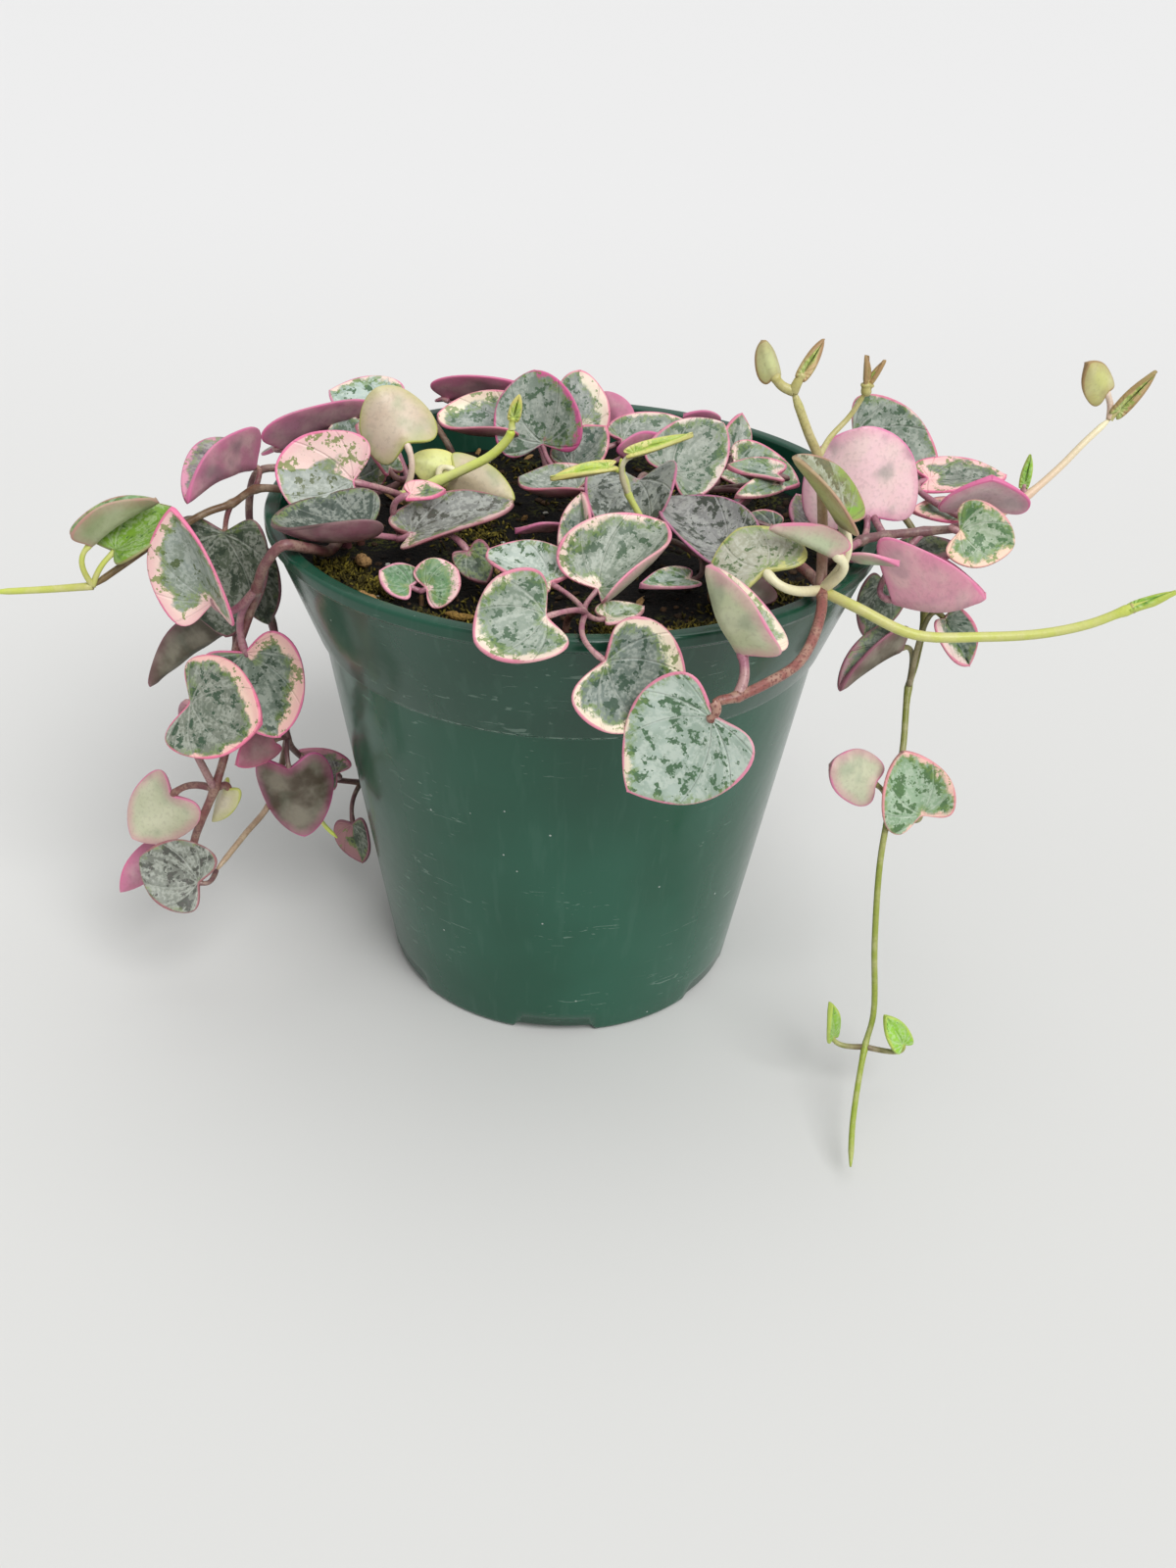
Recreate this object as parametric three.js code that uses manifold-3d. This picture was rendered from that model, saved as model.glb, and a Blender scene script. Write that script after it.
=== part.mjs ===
// A variegated string of hearts growing in a round nursery pot.
// Millimetres, +Z up. The origin is the centre of the pot's underside, and -Y is the front.
import * as THREE from "three";
import { mergeVertices } from "three/addons/utils/BufferGeometryUtils.js";
import Module from "manifold-3d";

const wasm = await Module();
wasm.setup();

// ---- Driving dimensions -------------------------------------------------------------------

const pot = {
  height: 94,
  rimRadius: 54,
  rimWidth: 2.7,
  beadHeight: 2,
  collarFoot: 72.5,
  collarRadius: 46.2,
  bodyRadius: 45.2,
  baseRadius: 34,
  wall: 1.3,
  floor: 1.5,
  slots: 6,
  slotWidth: 14.5,
  slotHeight: 1.8,
  slotDepth: 5,
  sides: 40,
};

const soil = { level: 86, clearance: 0.35, relief: 0.7, sides: 32, rings: 3 };
const hole = { floor: 79, clearance: 0.35, sides: 6 };
const blade = { middle: 1.05, rim: 0.75, rooted: 0.08 };
const petiole = { sides: 3, steps: 3, shortest: 1.2, longest: 6 };
const stemSides = 4;

const colours = {
  pot: 0x35564a,
  soil: 0x2c241c,
  leafy: 0x93a894,
};

// ---- The plant ----------------------------------------------------------------------------
// A vine is one or more stems and the leaves on them, on stalks of one radius. A stem is a
// radius and a row of points, and the first stem starts in its hole in the soil. A leaf names
// the stem and the point that its stalk leaves, then the notch of its heart, its tip, the way
// that its upper side faces, its width as a share of its length, and two angles: the fold
// along its middle and the curl from there to its edges. Some leaves also lean, which folds the
// right half more and the left half less, arch along their length by a share of it, below zero
// where they are hollow, or are blunt at the tip, from 0 to 1.

const stem = (radius, ...points) => ({ radius, points });
const leaf = (onStem, atPoint, base, tip, faces, wide, fold, curl, more = {}) => ({
  onStem, atPoint, base, tip, faces, wide, fold, curl, lean: 0, arch: 0, blunt: 0, ...more,
});

const vines = [
  {
    name: "vine_left_far",
    stalk: 0.5,
    stems: [
      stem(0.75,
        [-38, -4, 80], [-38, -4, 88], [-43, -5, 94], [-49, -7, 96.4], [-55, -7, 96.4],
        [-59, -8, 94], [-63, -10, 93], [-71, -14, 89], [-76, -17, 86], [-81, -20, 83],
      ),
      stem(0.7, [-81, -20, 83], [-89, -20, 82], [-99, -20, 81]),
    ],
    leaves: [
      leaf(0, 9, [-80.5, -20, 90.6], [-70, -14, 96.6], [0, 1, 3], 0.86, 50, 0),
      leaf(0, 9, [-77.2, -18, 88.6], [-68.6, -11, 94], [0, -1, 3], 1.15, 18, 10),
      leaf(0, 5, [-60.4, -9, 89.3], [-60.4, -15, 71.8], [-2, -8, 5], 1.04, 10, 12,
        { blunt: 0.3 }),
      leaf(0, 4, [-56, -2, 98.5], [-65, -15, 97], [-2, 1, 4], 1.1, 55, 0),
    ],
  },
  {
    name: "vine_left_hanging",
    stalk: 0.7,
    stems: [
      stem(0.95,
        [-40, -6, 80], [-40, -6, 87.8], [-41, -16, 89.6], [-42.4, -26.6, 94.6], [-46, -29.6, 96.3],
        [-49.5, -28, 92], [-52, -24, 86], [-54, -19, 81], [-59, -16.5, 68], [-61, -13, 60],
        [-62, -16, 50], [-64, -20, 43], [-67, -20, 36], [-69, -19, 31], [-70, -19, 27],
      ),
    ],
    leaves: [
      leaf(0, 6, [-60.6, -20, 80.8], [-65.9, -21, 98.3], [-1, -8, 4], 0.98, 26, 12,
        { lean: 25, arch: -0.06 }),
      leaf(0, 8, [-62, -9, 70], [-77.5, -8, 57.5], [0, 2, 3], 0.6, 55, 0),
      leaf(0, 6, [-56.5, -18.5, 71], [-50.5, -22, 56], [0, -8, 5], 1.1, 8, 20,
        { arch: -0.08, blunt: 0.5 }),
      leaf(0, 11, [-64.5, -27, 65], [-51, -34, 65.5], [0, -8, 5], 1.2, 6, 14,
        { arch: -0.05, blunt: 0.6 }),
      leaf(0, 11, [-71.8, -20, 41.4], [-79.4, -22.5, 32.8], [0, 8, -5], 1.15, 8, 16, { blunt: 0.7 }),
      leaf(0, 11, [-62, -18, 42], [-65, -19, 35], [1, 1, 0], 0.8, 20, 10),
      leaf(0, 14, [-77, -18, 26.5], [-83.6, -22, 20], [0, 1, 0], 0.64, 10, 10),
    ],
  },
  {
    name: "vine_left_back",
    stalk: 0.5,
    stems: [
      stem(0.75,
        [-43, 4, 80], [-43, 4, 88], [-47, 3, 94], [-50, 2, 96.5], [-56, 1, 96.5], [-58, 0, 90],
        [-57, -1, 80], [-55, -2, 68], [-53, -4, 56], [-53, -6, 46], [-51, -2, 39], [-47, 4, 31],
        [-42, 9, 27], [-39, 14, 23],
      ),
      stem(0.7, [-53, -6, 46], [-55, -6, 38], [-57, -9, 32.5], [-60, -17, 31], [-64, -25, 28]),
      stem(0.5, [-51, -2, 39], [-50, -2, 31], [-48, -3, 25], [-45, -4, 22]),
    ],
    leaves: [
      leaf(0, 7, [-58, -2, 81], [-55, -5, 69.5], [0.3, -2, 0.5], 0.8, 15, 10),
      leaf(0, 9, [-55, -9, 47], [-61, -15, 45], [0, 1, 0], 0.8, 10, 10),
      leaf(0, 9, [-52, -11, 42.5], [-49.5, -13, 28.5], [0, 8, -5], 1.1, 12, 26, { blunt: 0.6 }),
      leaf(0, 11, [-45.2, 0, 34.8], [-51.6, -3, 41.4], [-1, -2, 2], 0.9, 20, 10),
      leaf(0, 12, [-42.8, 2, 21.8], [-40.6, -0.6, 13.8], [-1, -2, 1], 1.0, 15, 10),
      leaf(1, 4, [-66, -29, 28], [-77, -27, 32], [0, -8, 5], 1.15, 5, 16, { blunt: 0.5 }),
    ],
  },
  {
    name: "crown_left",
    stalk: 0.6,
    stems: [
      stem(0.95,
        [-28, 4, 80], [-28, 4, 88], [-30, 0, 93], [-30, -4, 95], [-23.5, -4, 98.2],
        [-18.5, -4, 100.8], [-14.5, -4, 103.2], [-11.6, -4, 106.4], [-11, -4, 108],
      ),
      stem(0.6, [-28, 4, 88], [-31, 12, 92], [-34, 20, 94.5], [-36, 26, 95.5]),
      stem(0.6, [-28, 4, 88], [-29, -5, 90], [-29, -13, 91]),
    ],
    leaves: [
      leaf(0, 3, [-37, -12, 100.5], [-49.7, -14, 103.6], [0, -8, 5], 1.25, 8, 18,
        { lean: 6, arch: -0.06, blunt: 0.9 }),
      leaf(2, 2, [-33.8, -20.8, 95], [-49, -23.5, 97.6], [0, -0.4, 4], 1.25, 4, 64,
        { lean: -8, arch: -0.1, blunt: 0.9 }),
      leaf(0, 3, [-29.2, -2.5, 104], [-34.8, 1.5, 112.2], [0, 8, -5], 1.3, 10, 26, { blunt: 1 }),
      leaf(0, 4, [-22.6, 3, 97.4], [-29.4, 3, 99.2], [0, 8, -5], 1.0, 10, 20, { blunt: 0.6 }),
      leaf(0, 4, [-21.8, 3, 97.6], [-10.6, 0, 93.6], [0, 8, -5], 0.68, 12, 20, { blunt: 0.3 }),
      leaf(1, 1, [-34, 8, 95], [-40, 12, 102], [4, -1, 3], 0.9, 10, 10),
      leaf(1, 1, [-41, 12, 91], [-43, 18, 102], [1, -3, 1], 1.0, 10, 10),
      leaf(2, 2, [-27.2, -16, 100.2], [-21.2, -15, 100.8], [0, -1, 2], 0.8, 10, 35),
      leaf(2, 2, [-27, -19, 94.2], [-10, -13, 98.4], [0, -1, 3], 0.68, 5, 36,
        { lean: 6, blunt: 0.4 }),
      leaf(2, 2, [-17, -22, 93.2], [-13.4, -26.5, 89.6], [0, -1, 1], 1.0, 8, 15),
      leaf(1, 3, [-37, 31, 98.5], [-49, 36, 99.5], [0, -1, 2], 1.0, 10, 10),
      leaf(0, 8, [-10.8, -4, 110], [-9.8, -4, 114], [0, -1, 0], 0.6, 25, 10),
      leaf(1, 3, [-54.5, 11, 97.4], [-37, 20, 102.4], [0, 9, 10], 0.7, 12, 16,
        { arch: 0.02, blunt: 0.6 }),
    ],
  },
  {
    name: "crown_back",
    stalk: 0.5,
    stems: [
      stem(0.6, [-6, 26, 80], [-6, 26, 88], [-8, 30, 93], [-14, 34, 96], [-26, 38, 98]),
      stem(0.6, [-6, 26, 88], [-4, 20, 91], [-3, 15, 93]),
      stem(0.6, [-6, 26, 88], [2, 28, 92], [10, 32, 94], [18, 35, 95]),
    ],
    leaves: [
      leaf(0, 4, [-27, 39, 98.5], [-10, 40, 100.5], [0, 9, 10], 0.7, 10, 10),
      leaf(0, 3, [-12.6, 20, 99.4], [-26.4, 20.5, 101], [0, -1.2, 4], 1.1, 0, 76,
        { arch: -0.06, blunt: 0.6 }),
      leaf(1, 2, [-6.5, 16, 98], [-8.5, 20.5, 110.6], [0, -8, 5], 1.3, 10, 24,
        { lean: 12, blunt: 0.6 }),
      leaf(1, 2, [0.6, 5, 94], [-10.4, 6.5, 94.8], [0, -0.3, 4], 1.15, -2, 66,
        { arch: -0.1, blunt: 0.8 }),
      leaf(2, 1, [0, 27, 97.5], [-0.6, 32, 107.2], [1, -3, 1], 1.05, 10, 10, { blunt: 0.9 }),
      leaf(2, 2, [8, 38, 95], [4.5, 43, 99.5], [0, 1, 0], 0.9, 10, 10),
      leaf(1, 2, [-1, 18, 93], [5, 22, 100], [0, -2, 3], 1.1, 10, 30),
      leaf(2, 2, [8, 29, 94.5], [20, 34, 97.5], [0, -1, 2], 0.75, 10, 10),
      leaf(2, 1, [8.5, 19.5, 95], [15.5, 23, 98.5], [0, 1, 1], 0.9, 10, 30),
      leaf(2, 3, [26, 38, 95.5], [20, 37, 97.5], [0, 1, 1], 1.0, 10, 10),
    ],
  },
  {
    name: "crown_centre",
    stalk: 0.5,
    stems: [
      stem(0.65,
        [12, -4, 80], [12, -4, 88], [12.6, -10, 92.5], [11.7, -11, 95.5], [9.2, -11, 100],
        [8.2, -11, 102.8], [7.7, -11, 106.2],
      ),
      stem(0.6, [12, -4, 88], [16, 2, 92], [20, 8, 94]),
      stem(0.6, [12, -4, 88], [17, -9, 91], [22, -16, 91]),
      stem(0.6, [16, 2, 92], [24, 10, 93], [28, 16, 94]),
      stem(1.1, [20, 8, 94], [23, 1, 94.4], [26, -3, 96], [29, -8, 95.5]),
    ],
    leaves: [
      leaf(1, 1, [11.1, -3, 99.4], [9.4, -14, 91.8], [0, -1, 1.4], 1.42, 20, 24,
        { lean: -16, blunt: 0.4 }),
      leaf(0, 4, [5.8, -12, 104.8], [-4, -14, 103.4], [0, -1, 2], 0.32, 35, 20),
      leaf(0, 4, [9.6, -12, 107.4], [19.4, -10, 110.6], [0, -1, 2], 0.28, 35, 20),
      leaf(0, 2, [2, -20, 92], [1.5, -14.5, 101.5], [-1, -2, 0], 0.8, 30, 20),
      leaf(1, 2, [17, 6, 97.2], [26, 12, 105], [0, -8, 5], 1.1, 8, 20, { arch: -0.06, blunt: 0.4 }),
      leaf(3, 2, [29, 23, 95], [30.5, 28, 101.5], [1, -3, 1], 0.8, 10, 10),
      leaf(2, 2, [26, -21, 94], [15.5, -7, 98], [0, -1, 3], 0.85, 10, 40),
      leaf(0, 2, [-3, -8, 92], [-10, -10, 92], [0, 1, 2], 0.9, 10, 10),
      leaf(2, 2, [32.5, -23, 90.4], [24, -25.5, 89.6], [0, 1, -3], 0.95, 10, 15),
      leaf(2, 2, [20, -22, 89.6], [11.5, -26, 90.2], [0, -1, 5], 0.65, 10, 20),
      leaf(3, 2, [29, 17, 95], [41, 13, 93.6], [0, -1, 2], 0.95, 10, 15),
      leaf(3, 2, [36, 5, 98.2], [26.8, 6, 99.2], [0, -1, 3], 0.7, 10, 35),
      leaf(3, 1, [31, 4, 94], [25.5, -2, 92.5], [0, 1, 1], 0.85, 10, 10),
      leaf(3, 1, [35.5, 3.5, 97], [28, -2, 96.8], [0, -1, 2], 0.5, 10, 10),
      leaf(4, 3, [35, -8, 93.5], [29, -6, 94.5], [0, -2, 1], 0.9, 10, 10),
    ],
  },
  {
    name: "vine_front",
    stalk: 0.45,
    stems: [
      stem(0.6, [0, -36, 80], [0, -36, 88], [2, -42, 93], [3, -46, 94.6]),
    ],
    leaves: [
      leaf(0, 3, [6, -57.5, 92.8], [17.5, -56.8, 84.8], [0, -9, 4], 1.3, 6, 16,
        { arch: -0.04, blunt: 0.5 }),
      leaf(0, 3, [-2.6, -54.4, 98], [-13, -58, 95.4], [0, -8, 5], 1.45, 8, 44,
        { lean: -10, blunt: 0.5 }),
      leaf(0, 3, [-2.5, -37.5, 95.2], [-13, -30, 97], [0, -1, 2.6], 0.9, 10, 42,
        { lean: -6, blunt: 0.7 }),
      leaf(0, 3, [4.6, -38.6, 95], [15, -31, 103.4], [0, -1, 1.3], 1.25, 8, 74,
        { lean: 20, arch: -0.06, blunt: 0.6 }),
      leaf(0, 3, [6, -44.5, 93], [12, -40.5, 93.2], [0, -1, 3], 0.75, 10, 30),
    ],
  },
  {
    name: "seedling",
    stalk: 0.5,
    stems: [
      stem(0.45, [-24, -29, 81], [-24, -29, 87], [-24, -29, 89]),
    ],
    leaves: [
      leaf(0, 2, [-25.6, -29, 89.6], [-31, -27.4, 91.4], [0, -1, 1.4], 1.15, 8, 20, { blunt: 0.5 }),
      leaf(0, 2, [-23.2, -29.4, 89.6], [-18, -27.4, 92], [0, -3, 2.4], 1.4, 5, 16, { blunt: 1 }),
    ],
  },
  {
    name: "vine_right_front",
    stalk: 0.8,
    stems: [
      stem(0.95,
        [32, -10, 80], [32, -10, 89], [34, -17, 93.4], [37, -27, 95.6], [39.4, -38, 96.4],
        [38.4, -46, 94.6], [35, -54, 92], [30, -59, 91], [25.5, -62, 90.2], [22, -63.5, 90],
      ),
      stem(0.88,
        [39.4, -38, 96.4], [45, -41, 95], [54, -42, 91.4], [65, -41, 91], [74, -41, 92],
        [81, -41, 94], [86, -41, 96.5], [92, -41, 99],
      ),
      stem(0.88,
        [39.4, -38, 96.4], [39.4, -34, 102], [39, -30.6, 108], [38, -28, 114], [36, -28, 118],
        [33, -28, 124.5],
      ),
      stem(0.5, [38, -28, 114], [40, -24, 116], [43, -22, 119], [45, -22, 123]),
    ],
    leaves: [
      leaf(0, 8, [26.1, -58, 95], [20.6, -52.4, 106.4], [6, -0.6, 2], 1.2, 52, 8, { arch: -0.14 }),
      leaf(0, 9, [22.3, -64, 88], [10.5, -62, 73.2], [0, -8, 5], 1.02, 6, 14, { arch: -0.04 }),
      leaf(0, 4, [41.4, -38, 107.4], [33.2, -36.4, 117.4], [1, -2, 2], 0.96, 34, 0,
        { lean: -34, blunt: 0.3 }),
      leaf(0, 4, [40.6, -41, 103.6], [30.4, -39, 107], [0, 1, 1], 0.64, 42, 0),
      leaf(0, 4, [30.2, -41, 100.4], [26, -34.2, 104.2], [-0.8, -1, 3], 1.8, -6, -6,
        { blunt: 1 }),
      leaf(2, 5, [30, -28, 126.6], [27.6, -28, 132], [-1, 4, -3], 0.85, 34, 10, { blunt: 0.4 }),
      leaf(2, 5, [34, -28, 127], [37, -26, 132], [0, -1, 0], 0.4, 20, 10),
      leaf(1, 6, [87, -41, 97], [93, -41, 100], [0, -1, 3], 0.3, 20, 10),
      leaf(3, 3, [44.8, -22.2, 124.2], [44.4, -22, 128.6], [1, -1, 0], 0.34, 30, 10),
      leaf(3, 3, [45.4, -21.8, 124.2], [47.2, -22, 128], [-1, -1, 0], 0.34, 30, 10),
    ],
  },
  {
    name: "vine_right_cluster",
    stalk: 0.6,
    stems: [
      stem(0.9,
        [43, -13, 80], [43, -13, 88], [45, -17, 93], [48, -19, 96.8], [52, -17, 97],
        [59, -14.5, 97], [69, -12.5, 97.4],
      ),
      stem(0.7, [69, -12.5, 97.4], [77, -8.5, 102], [82, -6, 106], [86, -4, 110], [90, -2, 113.5]),
    ],
    leaves: [
      leaf(0, 4, [49, 10.5, 104.4], [64.2, 6, 100], [0, -8, 5], 1.05, 8, 16, { blunt: 0.5 }),
      leaf(0, 3, [49.6, -12.6, 98.4], [47, -10, 113], [0, 8, -5], 1.45, 12, 20, { blunt: 1 }),
      leaf(0, 6, [61.5, 1, 100], [75.5, 2, 101], [0, -1, 3], 0.72, 10, 10),
      leaf(0, 6, [68.2, -13.4, 101.8], [68, -17.6, 108.2], [0, 9, 4], 2.05, -10, -4),
      leaf(0, 6, [66.5, -5.5, 96.6], [58.5, -4.5, 96.6], [0, -1, 3], 0.85, 10, 15),
      leaf(0, 6, [63.8, -19, 99.2], [72.6, -21.5, 98], [0, -8, 5], 1.25, 8, 18, { blunt: 0.6 }),
      leaf(0, 3, [46, -26, 96.5], [53, -28, 97], [0, 1, 2], 0.9, 10, 10),
      leaf(0, 5, [54, -22, 87.6], [68.6, -25, 90.6], [0, 1, 5], 1.6, 58, 14,
        { lean: 14, arch: -0.22 }),
      leaf(1, 4, [88.5, -2, 118], [83.5, -4, 123.5], [0, 8, -5], 0.85, 15, 10),
      leaf(1, 4, [91, -2, 115], [96, -2, 122], [0, -1, 0], 0.35, 20, 10),
      leaf(1, 1, [76, -8, 103.5], [76.5, -7, 108.5], [0, -1, 0], 0.4, 20, 10),
      leaf(0, 4, [57, -11.8, 90.8], [67, -12, 93.2], [0, -1, 2], 0.7, 20, 10),
    ],
  },
  {
    name: "vine_right_hanging",
    stalk: 0.5,
    stems: [
      stem(0.65,
        [45, 1, 80], [45, 1, 88], [48, 0, 94], [51, -1, 96.6], [56, -4, 96.4], [60, -8, 92],
        [62, -12, 81], [61, -16, 73], [60, -18, 69], [59, -26, 60], [57, -32, 52], [56, -36, 44],
        [56, -42, 31], [57, -46, 18], [56, -48, 12], [53, -61, 6.5], [52, -69, 3.5],
      ),
    ],
    leaves: [
      leaf(0, 6, [57, 2, 80], [54.5, 0, 69.5], [1, -2, 1], 0.95, 10, 10),
      leaf(0, 8, [57.5, -18.5, 77], [46.6, -25, 72], [0.5, 1, 3], 0.85, 62, 0),
      leaf(0, 8, [63.6, -19.5, 83.6], [69.4, -19.5, 74.6], [0, -8, 5], 0.85, 44, 0),
      leaf(0, 10, [54, -31, 57], [45.5, -33, 61.6], [0, 8, -5], 1.0, 10, 16, { blunt: 0.7 }),
      leaf(0, 10, [62.6, -32, 51.5], [58, -30, 63], [0, -8, 5], 1.1, 8, 16, { blunt: 0.4 }),
      leaf(0, 14, [50, -47, 13.5], [49, -47, 21], [1, -1, 0], 0.5, 15, 10),
      leaf(0, 14, [62.3, -49, 13.8], [58.6, -48, 19.5], [0, -1, 1], 0.7, 15, 10),
      leaf(0, 1, [42, -3, 92], [39, 2, 96], [0, -1, 2], 1.0, 10, 10),
    ],
  },
  {
    name: "vine_back_left",
    stalk: 0.5,
    stems: [
      stem(0.7,
        [-24, 31, 80], [-24, 31, 88], [-29, 37, 94], [-33, 41, 96.6], [-37, 45, 94], [-38, 46, 84],
        [-36, 46, 70], [-34, 46, 56], [-33, 46, 44],
      ),
    ],
    leaves: [
      leaf(0, 5, [-42, 49, 91], [-51, 54, 82], [-1, 1, 2], 1.0, 8, 12),
      leaf(0, 5, [-34, 52, 87], [-25, 59, 79], [0, 1, 1], 1.0, 8, 12),
      leaf(0, 5, [-43, 49, 77], [-50, 54, 65], [-2, 2, 1], 1.05, 8, 12),
      leaf(0, 6, [-33, 52, 74], [-26, 57, 63], [0, 2, 1], 1.05, 8, 12),
      leaf(0, 7, [-40, 49, 60], [-47, 53, 49.5], [-2, 2, 1], 1.0, 8, 12),
      leaf(0, 7, [-31, 51, 57], [-24.5, 55, 47.5], [0, 2, 1], 1.0, 8, 12),
      leaf(0, 8, [-37, 49, 42], [-43, 53, 33], [-2, 2, 1], 1.0, 8, 12),
      leaf(0, 8, [-29, 49, 42], [-23, 53, 33], [0, 2, 1], 1.0, 8, 12),
    ],
  },
  {
    name: "vine_back",
    stalk: 0.5,
    stems: [
      stem(0.7,
        [2, 41, 80], [2, 41, 88], [0, 47, 94], [-1, 51, 96.6], [-2, 56, 95], [-2, 58, 86],
        [-1, 57, 74], [1, 55, 62], [1, 54, 52],
      ),
    ],
    leaves: [
      leaf(0, 4, [-8, 59, 89], [-17, 63, 81], [0, 1, 1], 1.05, 8, 12),
      leaf(0, 5, [4, 61, 85], [13, 65, 77], [0, 1, 1], 1.05, 8, 12),
      leaf(0, 6, [-6.5, 60, 71], [-13, 63, 59], [0, 2, 1], 0.95, 8, 12),
      leaf(0, 6, [5, 60, 68], [12.5, 62, 57], [0, 2, 1], 0.95, 8, 12),
      leaf(0, 8, [-4, 57, 50], [-7, 60, 40], [0, 2, 1], 1.0, 8, 12),
      leaf(0, 8, [5, 57, 50], [10, 59, 41], [0, 2, 1], 1.0, 8, 12),
    ],
  },
];

// ---- Solids -------------------------------------------------------------------------------

function solidFrom(geometry) {
  const bare = geometry.index ? geometry.clone() : geometry;
  bare.deleteAttribute("normal");
  bare.deleteAttribute("uv");
  const merged = mergeVertices(bare, 1e-5);
  return new wasm.Manifold(new wasm.Mesh({
    numProp: 3,
    vertProperties: merged.attributes.position.array,
    triVerts: new Uint32Array(merged.index.array),
  }));
}

function meshFrom(solid, name, colour, roughness) {
  const { vertProperties, triVerts } = solid.getMesh();
  const geometry = new THREE.BufferGeometry();
  geometry.setAttribute("position", new THREE.BufferAttribute(vertProperties, 3));
  geometry.setIndex(new THREE.BufferAttribute(triVerts, 1));
  geometry.computeVertexNormals();
  const material = new THREE.MeshStandardMaterial({ color: colour, roughness, metalness: 0 });
  const mesh = new THREE.Mesh(geometry, material);
  mesh.name = name;
  return mesh;
}

// A regular polygon as the section of a stem or a stalk.
function ringShape(radius, sides) {
  const corners = [];
  for (let i = 0; i < sides; i += 1) {
    const turn = (2 * Math.PI * i) / sides;
    corners.push(new THREE.Vector2(radius * Math.cos(turn), radius * Math.sin(turn)));
  }
  return new THREE.Shape(corners);
}

function tubeAlong(curve, radius, sides, steps) {
  const settings = { steps, bevelEnabled: false, extrudePath: curve };
  return solidFrom(new THREE.ExtrudeGeometry(ringShape(radius, sides), settings));
}

const vector = (values) => new THREE.Vector3(...values);

// A smooth line whose equal steps end at the points it was given.
class StemLine extends THREE.CatmullRomCurve3 {
  getPointAt(share, target) {
    return this.getPoint(share, target);
  }

  getTangentAt(share, target) {
    return this.getTangent(share, target);
  }
}

function stemSolid({ radius, points }) {
  return tubeAlong(new StemLine(points.map(vector)), radius, stemSides, points.length - 1);
}

// ---- Leaves -------------------------------------------------------------------------------

// Half the outline of a heart, from the notch at 0 to the tip at 180 degrees.
const outlineDegrees = [0, 30, 65, 105, 145, 180];
const heart = { cosines: [14, -3.4, -1.6, -0.6], notch: 8.4, length: 24.8, roundness: 1.5 };

function outlinePoint(degrees, blunt) {
  const turn = THREE.MathUtils.degToRad(degrees);
  const reach = heart.cosines.reduce((sum, c, i) => sum + c * Math.cos((i + 1) * turn), 0);
  const roundness = heart.roundness - (degrees > 90 ? 0.5 * blunt : 0);
  return { along: (heart.notch - reach) / heart.length, across: Math.sin(turn) ** roundness };
}

const ribShares = [0.22, 0.5, 0.78];

// The triangles of one half blade. Numbers 0 to 5 are the outline from notch to tip, and
// 6 to 8 lie on the middle rib.
const halfBlade = [
  [0, 1, 6], [1, 2, 6], [2, 7, 6], [2, 3, 7], [3, 8, 7], [3, 4, 8], [4, 5, 8],
];

function frameOf({ base, tip, faces }) {
  const along = vector(tip).sub(vector(base));
  const length = along.length();
  along.normalize();
  const up = vector(faces).projectOnPlane(along).normalize();
  return { along, up, side: new THREE.Vector3().crossVectors(up, along), length };
}

// A point of the blade: each half leaves the rib at the fold angle and curls on to its edge,
// and the blade's thickness is laid off square to that slope. The hand is 1 on the left half
// and -1 on the right.
function bladePoint(shape, frame, along, across, offset) {
  const reach = Math.abs(across) * frame.length * shape.wide * 0.5;
  const hand = Math.sign(across);
  const fold = shape.fold - hand * shape.lean;
  const chord = THREE.MathUtils.degToRad(fold + (shape.curl * Math.abs(across)) / 2);
  const slope = THREE.MathUtils.degToRad(fold + shape.curl * Math.abs(across));
  const arch = shape.arch * frame.length * 4 * along * (1 - along);
  const lean = across === 0 ? 0 : slope;
  return vector(shape.base)
    .addScaledVector(frame.along, along * frame.length)
    .addScaledVector(frame.side, hand * (reach * Math.cos(chord) - offset * Math.sin(lean)))
    .addScaledVector(frame.up, arch + reach * Math.sin(chord) + offset * Math.cos(lean));
}

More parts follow.
